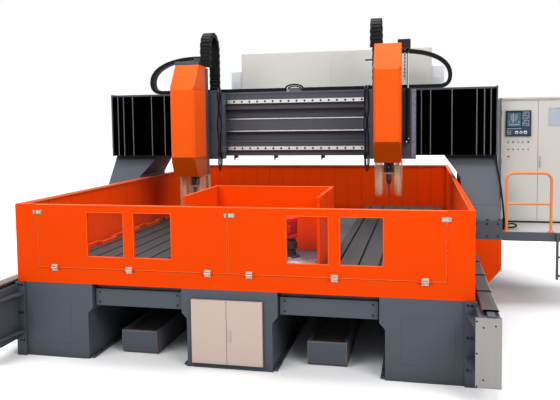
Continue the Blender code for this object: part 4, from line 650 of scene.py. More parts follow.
def butterfly_hinge(side, number, x):
    """A steel hinge over the knuckles: one leaf on the strip, one on the door."""
    axis_y, axis_z = behind(-0.012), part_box(f"{side}_front_door")[0].z + 0.011
    face = behind(0)
    back = face - HAIR
    lower = Piece(f"{side}_hinge_{number}_lower_leaf")
    lower.box((x - LEAF_HALF, face - 0.001, axis_z - LEAF_HEIGHT), (x + LEAF_HALF, back, axis_z - 0.012))
    lower.rod((x - 0.0195, axis_y, axis_z), (x + 0.0195, axis_y, axis_z), KNUCKLE_RADIUS)
    lower.box((x - 0.0175, axis_y - 0.0031, axis_z - 0.0222), (x + 0.0175, back, axis_z - 0.0125))
    for place in (-0.026, 0.026):
        lower.screw((x + place, face - 0.001, axis_z - LEAF_HEIGHT * 0.86), OUT, 0.0035, 0.0015)
    lower.done(HINGE, "base", 0.001)
    upper = Piece(f"{side}_hinge_{number}_upper_leaf")
    leaf_front = face - LEAF_SHEET
    leaf_top = axis_z + LEAF_HEIGHT + 0.006
    upper.box((x - LEAF_HALF, leaf_front, axis_z + 0.014), (x + LEAF_HALF, back, leaf_top))
    for place in (-0.0285, 0.0285):
        middle = x + place
        upper.rod((middle - 0.0075, axis_y, axis_z), (middle + 0.0075, axis_y, axis_z), KNUCKLE_RADIUS)
        upper.box((middle - 0.006, axis_y - 0.0032, axis_z + 0.0125), (middle + 0.006, back, axis_z + 0.0282))
    for place in (-0.026, 0.026):
        upper.screw((x + place, leaf_front, axis_z + LEAF_HEIGHT), OUT, 0.0035, 0.0015)
    upper.done(HINGE, f"{side}_flap", 0.001)


HINGE_FIRST_X, HINGE_SPACING = 0.2375, 0.935
for side, sign in SIDES:
    for number in range(3):
        butterfly_hinge(side, number + 1, sign * (HINGE_FIRST_X + HINGE_SPACING * number))


def latch(name, x, z, body, keeper_x, keeper_body):
    """A toggle latch in two parts and its keeper."""
    face = behind(0)
    back = face - HAIR
    plate = Piece(f"{name}_latch")
    plate.box((x - 0.026, face - 0.004, z - 0.025), (x + 0.004, back, z + 0.025))
    plate.box((x + 0.012, face - 0.004, z - 0.025), (x + 0.044, back, z + 0.025))
    plate.box((x - 0.022, face - 0.016, z - 0.015), (x + 0.03, face - 0.003, z + 0.015))
    tongue = ((0.03, 0.012), (0.046, 0.02), (0.046, 0.016), (0.03, 0.004))
    plate.prism([(x + right, face - proud) for right, proud in tongue], "Z", z - 0.012, z + 0.012)
    plate.rod((x - 0.014, face - 0.013, z - 0.02), (x - 0.014, face - 0.013, z + 0.02), 0.005)
    plate.done(HINGE, body, 0.0012)
    keeper = Piece(f"{name}_keeper")
    keeper.box((keeper_x - 0.015, face - 0.003, z - 0.022), (keeper_x + 0.012, back, z + 0.022))
    keeper.rod((keeper_x, face - 0.009, z - 0.014), (keeper_x, face - 0.009, z + 0.014), 0.005)
    keeper.box((keeper_x - 0.004, face - 0.009, z - 0.015), (keeper_x + 0.004, face - 0.002, z + 0.015))
    keeper.done(HINGE, keeper_body, 0.001)


LATCH_Z = 1.716
latch("left", -2.30, LATCH_Z, "left_flap", -2.352, "base")
latch("middle", 0.04, LATCH_Z, "right_flap", -0.018, "left_flap")
latch("right", 2.295, LATCH_Z, "right_flap", 2.352, "base")

WINDOW_EDGES = ((0.66, 1.105), (1.235, 1.68))
WINDOW_LOW, WINDOW_HIGH, WINDOW_RIM = 1.21, 1.72, 0.008
for side, sign in SIDES:
    for number, limits in enumerate(WINDOW_EDGES, 1):
        x = pair(*limits, sign)
        front, back = behind(-0.003), behind(-HAIR)
        outer_x = (x[0] - WINDOW_RIM, x[1] + WINDOW_RIM)
        # The rims take the lighter orange of the painted edge highlights.
        boxes(
            f"{side}_window_{number}_rim", EDGE_HIGHLIGHT_ORANGE, f"{side}_flap", 0.001,
            ((outer_x[0], front, WINDOW_LOW - WINDOW_RIM), (outer_x[1], back, WINDOW_LOW)),
            ((outer_x[0], front, WINDOW_HIGH), (outer_x[1], back, WINDOW_HIGH + WINDOW_RIM)),
            ((outer_x[0], front, WINDOW_LOW), (x[0], back, WINDOW_HIGH)),
            ((x[1], front, WINDOW_LOW), (outer_x[1], back, WINDOW_HIGH)),
        )


# Tub: panels on the inner faces of the walls, stiffeners outside

TUB_HALF, BACK_Y, WALL_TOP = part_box("back_guard_wall")[1]
WALL = 0.03
WALL_BOTTOM = 0.905
LIP_BOTTOM = WALL_TOP - 0.025
INNER_X = TUB_HALF - WALL


def wall_panels(name, edges, place):
    """Upright sheet panels with a narrow gap between neighbours. place(low, high) gives a panel's corners."""
    sheets = [place(low + 0.003, high - 0.003) for low, high in zip(edges, edges[1:])]
    boxes(name, ORANGE, "base", 0.002, *sheets)


for side, sign in SIDES:
    def side_panel(low, high, sign=sign):
        x = pair(INNER_X - 0.006, INNER_X - 0.0005, sign)
        return (x[0], low, WALL_BOTTOM), (x[1], high, LIP_BOTTOM - 0.004)

    wall_panels(f"{side}_wall_panels", even(behind(0.08), BACK_Y - WALL - 0.02, 12), side_panel)
    rib_x = pair(TUB_HALF - 0.0005, TUB_HALF + 0.002, sign)
    ribs = Piece(f"{side}_wall_stiffeners")
    for y in even(behind(0.9), BACK_Y - 0.3, 6):
        ribs.box((rib_x[0], y - 0.02, WALL_BOTTOM + 0.06), (rib_x[1], y + 0.02, WALL_TOP - 0.03))
    ribs.done(ORANGE, "base", 0.001)


def back_panel(low, high):
    back = BACK_Y - WALL - 0.0005
    return (low, back - 0.006, WALL_BOTTOM), (high, back, LIP_BOTTOM - 0.004)


wall_panels("back_wall_panels", even(-INNER_X + 0.03, INNER_X - 0.03, 18), back_panel)

# Fence: upright strips on its faces

FENCE_HALF, FENCE_BACK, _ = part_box("inner_fence")[1]
FENCE_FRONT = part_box("inner_fence")[0].y
STRIP_BOTTOM, STRIP_TOP = 0.9, WALL_TOP - 0.001
fence_strips = Piece("fence_strips")
for side, sign in SIDES:
    x = pair(FENCE_HALF - 0.001, FENCE_HALF + 0.0035, sign)
    for y in even(FENCE_FRONT + 0.02, FENCE_BACK - 0.02, 2):
        fence_strips.box((x[0], y - 0.02, STRIP_BOTTOM), (x[1], y + 0.02, STRIP_TOP))
for x in even(-FENCE_HALF + 0.03, FENCE_HALF - 0.03, 3):
    fence_strips.box((x - 0.02, FENCE_BACK - 0.001, STRIP_BOTTOM), (x + 0.02, FENCE_BACK + 0.0035, STRIP_TOP))
fence_strips.done(ORANGE, "base", 0.001)


# Base: access plates, bracket bolts, girder bolts, channel ledges

ACCESS_PLATES = {"left": ((1.917, 2.426), (0.17, 0.71)), "right": ((1.868, 2.408), (0.185, 0.68))}
CHANNEL_INNER, CHANNEL_OUTER = 0.49, 1.70
LEDGE_TOP = 0.022
for side, sign in SIDES:
    limits, heights = ACCESS_PLATES[side]
    x = pair(*limits, sign)
    plate_face = behind(-0.0025)
    corners = (x[0], plate_face, heights[0]), (x[1], behind(0.001), heights[1])
    boxes(f"{side}_access_plate", GREY, "base", 0.001, corners)
    screws = Piece(f"{side}_access_plate_screws")
    for screw_x in (x[0] + 0.02, x[1] - 0.02):
        for screw_z in (heights[0] + 0.02, sum(heights) / 2, heights[1] - 0.02):
            screws.screw((screw_x, plate_face, screw_z), OUT, 0.006, 0.002)
    screws.done(GREY, "base", 0.0005)
    bolts = Piece(f"{side}_bracket_bolts")
    for bolt_x in (2.528, 2.568):
        for z in (0.85, 0.515, 0.18):
            start, end = (sign * bolt_x, behind(-0.0295), z), (sign * bolt_x, behind(-0.036), z)
            bolts.rod(start, end, 0.0145, sides=18)
    bolts.done(SCREW_BLACK, "base", 0.0015)
for side, sign in SIDES:
    girder_bolts = Piece(f"{side}_girder_bolts")
    for bolt_x in (0.62, 1.57):
        for z in (0.67, 0.785):
            girder_bolts.bolt((sign * bolt_x, behind(0.06), z), OUT, 0.009, 0.008)
    girder_bolts.done(SCREW_BLACK, "base", 0.001)
    ledges = Piece(f"{side}_channel_ledges")
    ledge_bolts = Piece(f"{side}_channel_ledge_bolts")
    for edge, outward in ((CHANNEL_INNER, 1), (CHANNEL_OUTER, -1)):
        x = sorted((sign * (edge - outward * 0.001), sign * (edge + outward * 0.05)))
        ledges.box((x[0], behind(0.03), 0.002), (x[1], behind(7.06), LEDGE_TOP))
        for y in even(behind(0.25), behind(6.85), 12):
            ledge_bolts.bolt((sign * (edge + outward * 0.03), y, LEDGE_TOP), UP, 0.012, 0.012)
    ledges.done(GREY, "base", 0.003)
    ledge_bolts.done(SCREW_BLACK, "base", 0.001)

# Conveyors: hinged slats in the tray, folded edges, a front plate

SLAT_PITCH = 0.1
for side, sign in SIDES:
    low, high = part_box(f"{side}_chip_conveyor")
    tray = high.z - 0.06
    slats = Piece(f"{side}_conveyor_slats")
    rods = Piece(f"{side}_conveyor_rods")
    for number in range(int((high.y - low.y - 0.1) / SLAT_PITCH)):
        y = low.y + 0.05 + SLAT_PITCH * number
        slat_end = y + SLAT_PITCH - 0.006
        slats.box((low.x + 0.036, y + 0.006, tray + 0.002), (high.x - 0.036, slat_end, tray + 0.014))
        rods.rod((low.x + 0.033, y, tray + 0.012), (high.x - 0.033, y, tray + 0.012), 0.005, sides=8)
    slats.done(DIRTY_STEEL, "base", 0.002, 1)
    rods.done(DIRTY_STEEL, "base", 0)
    boxes(
        f"{side}_conveyor_edges", GREY, "base", 0.002,
        *[((x, low.y, high.z - 0.001), (x + 0.03, high.y, high.z + 0.004)) for x in (low.x, high.x - 0.03)],
    )
    front, back = low.y - 0.0015, low.y + 0.01
    face = Piece(f"{side}_conveyor_front")
    outline = [(front, 0.05), (front, high.z - 0.012), (back, high.z - 0.002), (back, 0.05)]
    face.prism(outline, "X", low.x + 0.008, high.x - 0.008)
    face.done(GREY, "base", 0.001)

# Low cabinet: lever handle, shelf inside

LEVER_X, LEVER_Z = 0.015, 0.389
low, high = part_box("low_cabinet_box")
door_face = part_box("low_cabinet_right_door")[0].y
lever = Piece("low_cabinet_lever")
for half_width, half_height, front, back in ((0.014, 0.075, -0.002, 0.001), (0.008, 0.06, -0.012, -0.002)):
    lever.box(
        (LEVER_X - half_width, door_face + front, LEVER_Z - half_height),
        (LEVER_X + half_width, door_face + back, LEVER_Z + half_height),
    )
lever.done(WARM_BEIGE, "low_cabinet_right_leaf", 0.002, 3)
corners = (low.x + 0.013, low.y + 0.03, 0.40), (high.x - 0.013, high.y - 0.013, 0.406)
boxes("low_cabinet_shelf", WARM_BEIGE, "base", 0.001, corners)


# Side beds: end plates with their screws, ribs along the sides

END_PLATE_SCREWS = (
    (2.639, 0.777), (2.747, 0.796), (2.578, 0.835), (2.578, 0.527), (2.638, 0.275), (2.578, 0.21),
)
for side, sign in SIDES:
    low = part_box(f"{side}_side_bed")[0]
    screws = Piece(f"{side}_end_plate_screws")
    for x, z in END_PLATE_SCREWS:
        screws.screw((sign * x, low.y, z), OUT, 0.011, 0.001)
    screws.done(SCREW_BLACK, "base", 0.001)
    x = pair(2.5655, 2.8035, sign)
    corners = (x[0], low.y - 0.0004, low.z + 0.2), (x[1], low.y + 0.012, 0.8695)
    boxes(f"{side}_end_plate_skin", STAINLESS, "base", 0.0006, corners)
    x = pair(2.8 - 0.001, 2.8 + 0.006, sign)
    boxes(
        f"{side}_bed_side_ribs", GREY, "base", 0.002,
        *[((x[0], behind(-0.48), z), (x[1], behind(8.58), z + 0.03)) for z in (0.23, 0.80)],
    )


# Way covers: overlapping stainless hoods with folded edges

HOOD_LOW_TOP, HOOD_STEP, HOODS, HOOD_CUTS = 0.905, 0.012, 5, 6


def hood_outline(x, bottom, top, wider, chamfer, drop):
    """A hood's cross section: upright sides, chamfered shoulders and a flat top."""
    left, right = x[0] - wider, x[1] + wider
    shoulder = top - 0.012
    return [
        (left, bottom), (right, bottom), (right, shoulder), (x[1] - chamfer, top - drop),
        (x[0] + chamfer, top - drop), (left, shoulder),
    ]


def way_cover(side, end, gantry_is_high):
    """Hoods stepped one over the next; each one's end has a folded lip."""
    node = f"{side}_{end}_way_cover"
    low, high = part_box(node)
    x = (low.x, high.x)
    length = (high.y - low.y) / HOODS
    cover = Piece(f"{side}_{end}_way_hoods")
    for number in range(HOODS):
        top = HOOD_LOW_TOP + HOOD_STEP * number
        if gantry_is_high:
            start, stop = low.y + length * number, low.y + length * (number + 1)
            lip = (start, start + 0.02)
        else:
            start, stop = high.y - length * (number + 1), high.y - length * number
            lip = (stop - 0.02, stop)
        hood = hood_outline(x, low.z, top, 0, 0.012, 0.001)
        for step in range(HOOD_CUTS):
            begin = start + (stop - start) * step / HOOD_CUTS
            finish_y = start + (stop - start) * (step + 1) / HOOD_CUTS
            cover.prism(hood, "Y", begin, finish_y)
        cover.prism(hood_outline(x, low.z, top, 0.002, 0.011, 0), "Y", *lip)
    made = cover.done(STAINLESS, None, 0)
    ends = [(0, low.y, 0), (0, high.y, 0)]
    if not gantry_is_high:
        ends.reverse()
    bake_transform(made)
    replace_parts(made, node)


for side, sign in SIDES:
    way_cover(side, "front", True)
    way_cover(side, "back", False)


# Gantry legs: foot bolts, weld seams, top flanges

FOOT_TOP, FOOT_FRONT, FOOT_BACK = 1.25, behind(3.2), behind(5.2)
for side, sign in SIDES:
    bolts = Piece(f"{side}_foot_bolts")
    for y in even(FOOT_FRONT + 0.03, FOOT_BACK - 0.03, 1):
        for x in even(2.68, 3.18, 3):
            bolts.bolt((sign * x, y, FOOT_TOP), UP, 0.016, 0.018)
    for x in even(2.70, 3.16, 3):
        for z in (1.02, 1.20):
            bolts.bolt((sign * x, FOOT_FRONT, z), OUT, 0.012, 0.01)
    bolts.done(SCREW_BLACK, "gantry", 0.001)
    x = pair(2.665, 3.205, sign)
    seam = Piece(f"{side}_leg_seams")
    for z in (1.80, 1.45):
        y = behind(4.02 - (2.17 - z) / 0.92 * 0.72)
        seam.box((x[0], y - 0.004, z - 0.004), (x[1], y + 0.01, z + 0.004))
    seam.done(GREY, "gantry", 0.001)
    x = pair(2.44, 3.2, sign)
    corners = (x[0], behind(4.0), 2.148), (x[1], behind(4.04), 2.168)
    boxes(f"{side}_leg_top_flange", GREY, "gantry", 0.002, corners)

# Clips of the left leg's conduit
boxes(
    "conduit_clips", ORANGE, "gantry", 0.002,
    *[((-3.2645, behind(4.045), z), (-3.205, behind(4.095), z + 0.03)) for z in (1.5, 1.9)],
)


# Beam: rails, rack, edge strips, brackets, hoses over its middle

BEAM_FRONT = behind(3.95)
RAIL_FACE = behind(3.885)
RACK_FACE = behind(3.99)
BEAM_END = 3.18
BEAM_TOP = 3.25
RAIL_HEIGHTS = (2.295, 3.075)
TOOTH = 0.025


def along_beam(name, material, rounding, *sections):
    """Bars from end to end of the beam, each given by its (Y, Z) corners."""
    corners = [((-BEAM_END, *low), (BEAM_END, *high)) for low, high in sections]
    return boxes(name, material, "gantry", rounding, *corners)


along_beam(
    "beam_rail_faces", BRIGHT, 0,
    *[((RAIL_FACE - HAIR, z - 0.029), (RAIL_FACE + 0.01, z + 0.029)) for z in RAIL_HEIGHTS],
)
caps = Piece("beam_rail_bolt_caps")
for z in RAIL_HEIGHTS:
    for x in even(-BEAM_END + 0.05, BEAM_END - 0.05, 47):
        caps.rod((x, RAIL_FACE + 0.001, z), (x, RAIL_FACE - 0.00025, z), 0.018, sides=16)
caps.done(SCREW_BLACK, "gantry", 0)
rail_sides = []
for z in RAIL_HEIGHTS:
    for edge in (-1, 1):
        low_z, high_z = sorted((z + edge * 0.03, z + edge * 0.0315))
        rail_sides.append(((RAIL_FACE + 0.002, low_z), (BEAM_FRONT - 0.001, high_z)))
along_beam("beam_rail_sides", STAINLESS, 0, *rail_sides)
along_beam(
    "beam_edge_strips", BRIGHT, 0.002,
    *[((RACK_FACE - 0.012, z - 0.008), (RACK_FACE + 0.001, z + 0.008)) for z in (2.582, 2.788)],
)
teeth = Piece("beam_rack_teeth")
for number in range(int(2 * BEAM_END / TOOTH)):
    x = -BEAM_END + TOOTH * number
    outline = [(x, 2.572), (x + TOOTH, 2.572), (x + TOOTH * 0.7, 2.56), (x + TOOTH * 0.3, 2.56)]
    teeth.prism(outline, "Y", RACK_FACE - 0.01, RACK_FACE + 0.02)
teeth.done(IRON, "gantry", 0)
along_beam(
    "beam_ledges", GREY, 0.002,
    ((BEAM_FRONT - 0.012, 2.395), (BEAM_FRONT + 0.001, 2.418)),
    ((BEAM_FRONT - 0.01, 3.2), (BEAM_FRONT + 0.001, 3.23)),
)
brackets = Piece("beam_brackets")
for x in (-1.005, -0.309, 0.486):
    brackets.box((x - 0.03, behind(3.955), 2.128), (x + 0.03, behind(4.03), 2.1695))
    brackets.box((x - 0.03, behind(3.955), 2.10), (x - 0.005, behind(3.975), 2.1695))
brackets.done(SCREW_BLACK, "gantry", 0.003)
for number, (half, rise, y) in enumerate(((0.16, 0.10, 4.05), (0.12, 0.075, 4.09)), 1):
    arch = ((-half, 0.012), (-half * 0.75, rise * 0.75), (0, rise), (half * 0.75, rise * 0.75), (half, 0.012))
    route = [(x, behind(y), BEAM_TOP + height) for x, height in arch]
    pipe(f"beam_hose_{number}", route, 0.018 - 0.004 * number, BLACK, "gantry")
corners = (-0.11, behind(4.14), 3.2355), (0.11, behind(4.24), 3.3)
boxes("beam_junction_box", LIGHT_GREY, "gantry", 0.004, corners)


# Bellows: fine pleats with steel strips

BELLOWS_STRIPS = {"left": (3.085, 2.98, 2.809, 2.46, 2.224), "right": (2.067, 2.206, 2.53, 2.9, 3.013, 3.108)}
PLEATS = 44
CLOTH = 0.004


def bellows(side, sign):
    low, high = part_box(f"{side}_bellows")
    near = low.x if sign > 0 else -high.x
    far = high.x if sign > 0 else -low.x
    pitch = (far - near) / PLEATS
    front, back = low.y + 0.003, high.y - 0.006

    def stretch(piece, material):
        """Finishes a piece on no body and bakes its place into its mesh."""
        made = piece.done(material, None, 0)
        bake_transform(made)
        return made

    ridge = []
    for pleat in range(PLEATS):
        ridge += [(near + pitch * pleat, back), (near + pitch * (pleat + 0.5), front)]
    ridge.append((far, back))
    curtain = Piece(f"{side}_bellows_curtain")
    for (x0, y0), (x1, y1) in zip(ridge, ridge[1:]):
        fold = [(sign * x0, y0), (sign * x1, y1), (sign * x1, y1 + CLOTH), (sign * x0, y0 + CLOTH)]
        curtain.prism(fold, "Z", low.z, high.z)
    x0, x1 = sign * near, sign * (near + pitch * 0.4)
    hem = [(x0, back - 0.02), (x1, back - 0.02), (x1, back + 0.006), (x0, back + 0.006)]
    curtain.prism(hem, "Z", low.z, high.z)
    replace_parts(stretch(curtain, BELLOWS), f"{side}_bellows")
    strips = Piece(f"{side}_bellows_strips")
    for x in BELLOWS_STRIPS[side]:
        strips.box((sign * x - 0.0075, low.y + 0.0005, low.z), (sign * x + 0.0075, low.y + 0.005, high.z))
    stretch(strips, DARK_STRIP)
    left, right = sorted((sign * near, sign * far))
    hems = Piece(f"{side}_bellows_hems")
    hems.box((left, front + 0.012, high.z - 0.012), (right, back - 0.004, high.z))
    stretch(hems, BELLOWS)


for side, sign in SIDES:
    bellows(side, sign)


# Heads: cable chains, cylinders, hoses, spindles and clear strips

HEAD_X = {"left": -1.53, "right": 1.585}
SADDLE_FACE = behind(3.62)


def bezier(start, first, second, end, steps):
    points = []
    for step in range(steps + 1):
        t = step / steps
        s = 1 - t
        points.append(start * s**3 + first * 3 * s * s * t + second * 3 * s * t * t + end * t**3)
    return points


def evenly_spaced(points, pitch):
    """Points a pitch apart along a polyline, its ends kept."""
    lengths = [0.0]
    for start, end in zip(points, points[1:]):
        lengths.append(lengths[-1] + (end - start).length)
    count = round(lengths[-1] / pitch)
    placed = []
    for number in range(count + 1):
        target = lengths[-1] * number / count
        index = max(i for i in range(len(points) - 1) if lengths[i] <= target + 1e-9)
        share = (target - lengths[index]) / (lengths[index + 1] - lengths[index])
        placed.append(points[index].lerp(points[index + 1], share))
    return placed


LINK_PLATE = 0.009
LINK_OVERLAP = 0.12
# A side plate's corners: shares of its half length along the chain and of its half thickness across it
LINK_OUTLINE = ((-1, -0.35), (-0.8, -1), (0.8, -1), (1, -0.35), (1, 0.35), (0.8, 1), (-0.8, 1), (-1, 0.35))


def link_shapes(piece, path, across, thickness, width):
    """Overlapping side plates, and cross bars above and below, one set for each link of a chain.

    The path's points are in the chain's plane, and across is the unit vector out of that plane.
    """
    half = width / 2
    for number, (start, end) in enumerate(zip(path, path[1:])):
        along = (end - start).normalized()
        up = across.cross(along)
        length = (end - start).length
        middle = (start + end) / 2
        inset = LINK_PLATE if number % 2 else 0.0
        reach = length * (0.5 + LINK_OVERLAP)
        rim = [middle + along * reach * x + up * thickness / 2 * z * 0.97 for x, z in LINK_OUTLINE]
        for hand in (-1, 1):
            face = across * hand * (half - inset)
            back = across * hand * (half - inset - LINK_PLATE)
            piece.between([point + face for point in rim], [point + back for point in rim])
        for level in (-1, 1):
            centre = middle + up * level * (thickness / 2 - 0.004)
            bar = bmesh.ops.create_cube(piece.shape, size=1.0)["verts"]
            turn = Matrix((along, across, up)).transposed().to_4x4()
            size = Matrix.Diagonal((length * 0.9, width - 0.01, 0.0075, 1))
            bmesh.ops.transform(piece.shape, matrix=Matrix.Translation(centre) @ turn @ size, verts=bar)


CHAIN_LOW_Z, CHAIN_HIGH_Z, MAST_HALF = 3.2653, 3.8353, 0.08
CHAIN_WIDTH = 0.168
CHAIN_BEND_X, CHAIN_LOW_TURN_X, CHAIN_FIXED_X = 2.51, 2.33, 0.15


def beam_chain(side, sign):
    """From the mast on the saddle, round a free bend, to the fixed end on the beam."""
    head = abs(HEAD_X[side])
    bend_z = CHAIN_LOW_Z + (CHAIN_HIGH_Z - CHAIN_LOW_Z) * 0.31
    pull_up, pull_down = (CHAIN_HIGH_Z - bend_z) * 0.68, (bend_z - CHAIN_LOW_Z) * 0.68
    clip_end = head + 2 * MAST_HALF

    def at(x, z):
        return Vector((sign * x, behind(4.065), z))

    def follow(made):
        """Bakes the piece's place into its mesh; it rides on no body."""
        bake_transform(made)

    bend = at(CHAIN_BEND_X, bend_z)
    upper = bezier(
        at(clip_end, CHAIN_HIGH_Z), at(clip_end + 0.4, CHAIN_HIGH_Z), at(CHAIN_BEND_X, bend_z + pull_up),
        bend, 16,
    )
    lower = bezier(
        bend, at(CHAIN_BEND_X, bend_z - pull_down), at(CHAIN_LOW_TURN_X + 0.13, CHAIN_LOW_Z),
        at(CHAIN_LOW_TURN_X, CHAIN_LOW_Z), 16,
    )
    route = [at(head - MAST_HALF, CHAIN_HIGH_Z), *upper, *lower[1:], at(CHAIN_FIXED_X, CHAIN_LOW_Z)]
    links = Piece(f"{side}_beam_chain_links")
    link_shapes(links, evenly_spaced(route, 0.05), Vector((0, 1, 0)), 0.06, CHAIN_WIDTH)
    made = links.done(BLACK, None, 0.0015, 1)
    follow(made)
    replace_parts(made, f"{side}_beam_chain")
    for number, (shift, offset) in enumerate(((-0.04, 0.004), (0.0, -0.003), (0.045, 0.003)), 1):
        inside = [point + Vector((0, shift, offset)) for point in route[1:-1]]
        follow(pipe(f"{side}_beam_chain_cable_{number}", inside, 0.013, HOSE, None, 2))


def ram_chain(side):
    """From the saddle's shelf, over, and down to the ram's slide."""
    low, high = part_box(f"{side}_ram_chain")
    head = f"{side}_head"
    x = (low.x + high.x) / 2
    near_y, far_y = low.y + 0.04, high.y - 0.04
    radius = (far_y - near_y) / 2
    centre = Vector((x, (near_y + far_y) / 2, high.z - 0.04 - radius))
    near_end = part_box(f"{side}_ram_slide")[1].z - 0.13 + 0.025

    def follow(made):
        """Bakes the piece's place into its mesh; it rides on no body."""
        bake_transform(made)

    arc = []
    for step in range(25):
        angle = math.pi * step / 24
        arc.append(centre + Vector((0, math.cos(angle), math.sin(angle))) * radius)
    route = [Vector((x, far_y, low.z + 0.006)), *arc, Vector((x, near_y, near_end))]
    links = Piece(f"{side}_ram_chain_links")
    link_shapes(links, evenly_spaced(route, 0.055), Vector((1, 0, 0)), 0.078, CHAIN_WIDTH)
    made = links.done(BLACK, None, 0.0015, 1)
    follow(made)
    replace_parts(made, f"{side}_ram_chain")
    for number, shift in enumerate((-0.045, 0.0, 0.042), 1):
        inside = [point + Vector((shift, 0, 0)) for point in route]
        follow(pipe(f"{side}_ram_chain_cable_{number}", inside, 0.014, HOSE, None, 2))
    foot = Piece(f"{side}_ram_chain_foot")
    foot.box((x - 0.08, far_y - 0.034, low.z - 0.012), (x + 0.08, far_y + 0.034, low.z + 0.012))
    for hand in (-1, 1):
        foot.bolt((x + hand * 0.05, far_y - 0.034, low.z), OUT, 0.008, 0.006)
    foot.done(LIGHT_GREY, head, 0.002)


DRILL_RINGS, DRILL_SIDES, DRILL_TURNS = 36, 12, 3.2
POINT_STARTS, FLUTES_START, FLUTE_DEPTH = 0.93, 0.18, 0.45


def twist_drill(piece, x, y, top, bottom, radius):
    """Two flutes wound round a shank, and a ground point."""
    layers = []
    for level in range(DRILL_RINGS + 1):
        share = level / DRILL_RINGS
        z = top + (bottom - top) * share
        swell = 1.0 if share < POINT_STARTS else max((1 - share) / 0.07, 0.08)
        fluted = 0.0 if share < FLUTES_START else FLUTE_DEPTH
        layer = []
        for step in range(DRILL_SIDES):
            angle = 2 * math.pi * step / DRILL_SIDES
            reach = radius * swell * (1 - fluted * abs(math.sin(angle)) ** 1.5)
            turned = angle + 2 * math.pi * DRILL_TURNS * share
            place = (x + reach * math.cos(turned), y + reach * math.sin(turned), z)
            layer.append(piece.shape.verts.new(place))
        layers.append(layer)
    faces = [piece.shape.faces.new(layers[0]), piece.shape.faces.new(layers[-1][::-1])]
    for upper, lower in zip(layers, layers[1:]):
        faces += piece.walls(upper, lower)
    bmesh.ops.recalc_face_normals(piece.shape, faces=faces)


NOSE = (
    (0.083, -0.001), (0.083, -0.03), (0.076, -0.036), (0.076, -0.135), (0.08, -0.14), (0.08, -0.158),
    (0.07, -0.17),
)
NOSE_RING = ((0.055, -0.165), (0.062, -0.172), (0.062, -0.188), (0.045, -0.196), (0.045, -0.165))
CHUCK = (
    (0.03, -0.185), (0.041, -0.198), (0.041, -0.24), (0.037, -0.244), (0.037, -0.25), (0.04, -0.254),
    (0.04, -0.30), (0.034, -0.312), (0.029, -0.35), (0.013, -0.352),
)
STEM = ((0.04, -0.0005), (0.04, -0.186), (0.02, -0.19))
DRILL_RADIUS = 0.0118


def spindle(side):
    """The nose, chrome ring, chuck and twist drill, and the stem, which stands for the plain solid."""
    low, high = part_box(f"{side}_spindle")
    axis = Vector(((low.x + high.x) / 2, (low.y + high.y) / 2, high.z))
    top = high.z
    body = f"{side}_tool"
    nose = Piece(f"{side}_spindle_nose")
    nose.turned(NOSE, axis)
    nose.done(SCREW_BLACK, body, 0.0015)
    keys = Piece(f"{side}_spindle_keys")
    for step in range(4):
        angle = math.pi / 2 * step + math.pi / 4
        centre = Vector((axis.x, axis.y, top - 0.172)) + round_vector(angle) * 0.055
        keys.box(centre - Vector((0.01, 0.01, 0.016)), centre + Vector((0.01, 0.01, 0.004)))
    for step in range(8):
        reach = round_vector(math.pi / 4 * step)
        keys.bolt(Vector((axis.x, axis.y, top - 0.085)) + reach * 0.076, reach, 0.0065, 0.0055)
    keys.done(BRIGHT, body, 0.001)
    ring = Piece(f"{side}_spindle_ring")
    ring.turned(NOSE_RING, axis)
    ring.done(BRIGHT, body, 0.001)
    chuck = Piece(f"{side}_drill_chuck")
    chuck.turned(CHUCK, axis)
    for step in range(20):
        place = axis + round_vector(2 * math.pi * step / 20) * 0.0402
        chuck.rod((*place.xy, top - 0.258), (*place.xy, top - 0.296), 0.0022, sides=6)
    chuck.done(SCREW_BLACK, body, 0.0008)
    drill = Piece(f"{side}_twist_drill")
    twist_drill(drill, axis.x, axis.y, top - 0.345, low.z + 0.001, DRILL_RADIUS)
    drill.done(DRILL_STEEL, body, 0)
    stem = Piece(f"{side}_spindle_stem")
    stem.turned(STEM, axis)
    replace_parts(stem.done(BRIGHT, body, 0.001), f"{side}_spindle")


STRIP_WIDTH, STRIP_BOW, STRIP_SHEET, STRIP_PITCH = 0.062, 0.006, 0.0022, 0.055


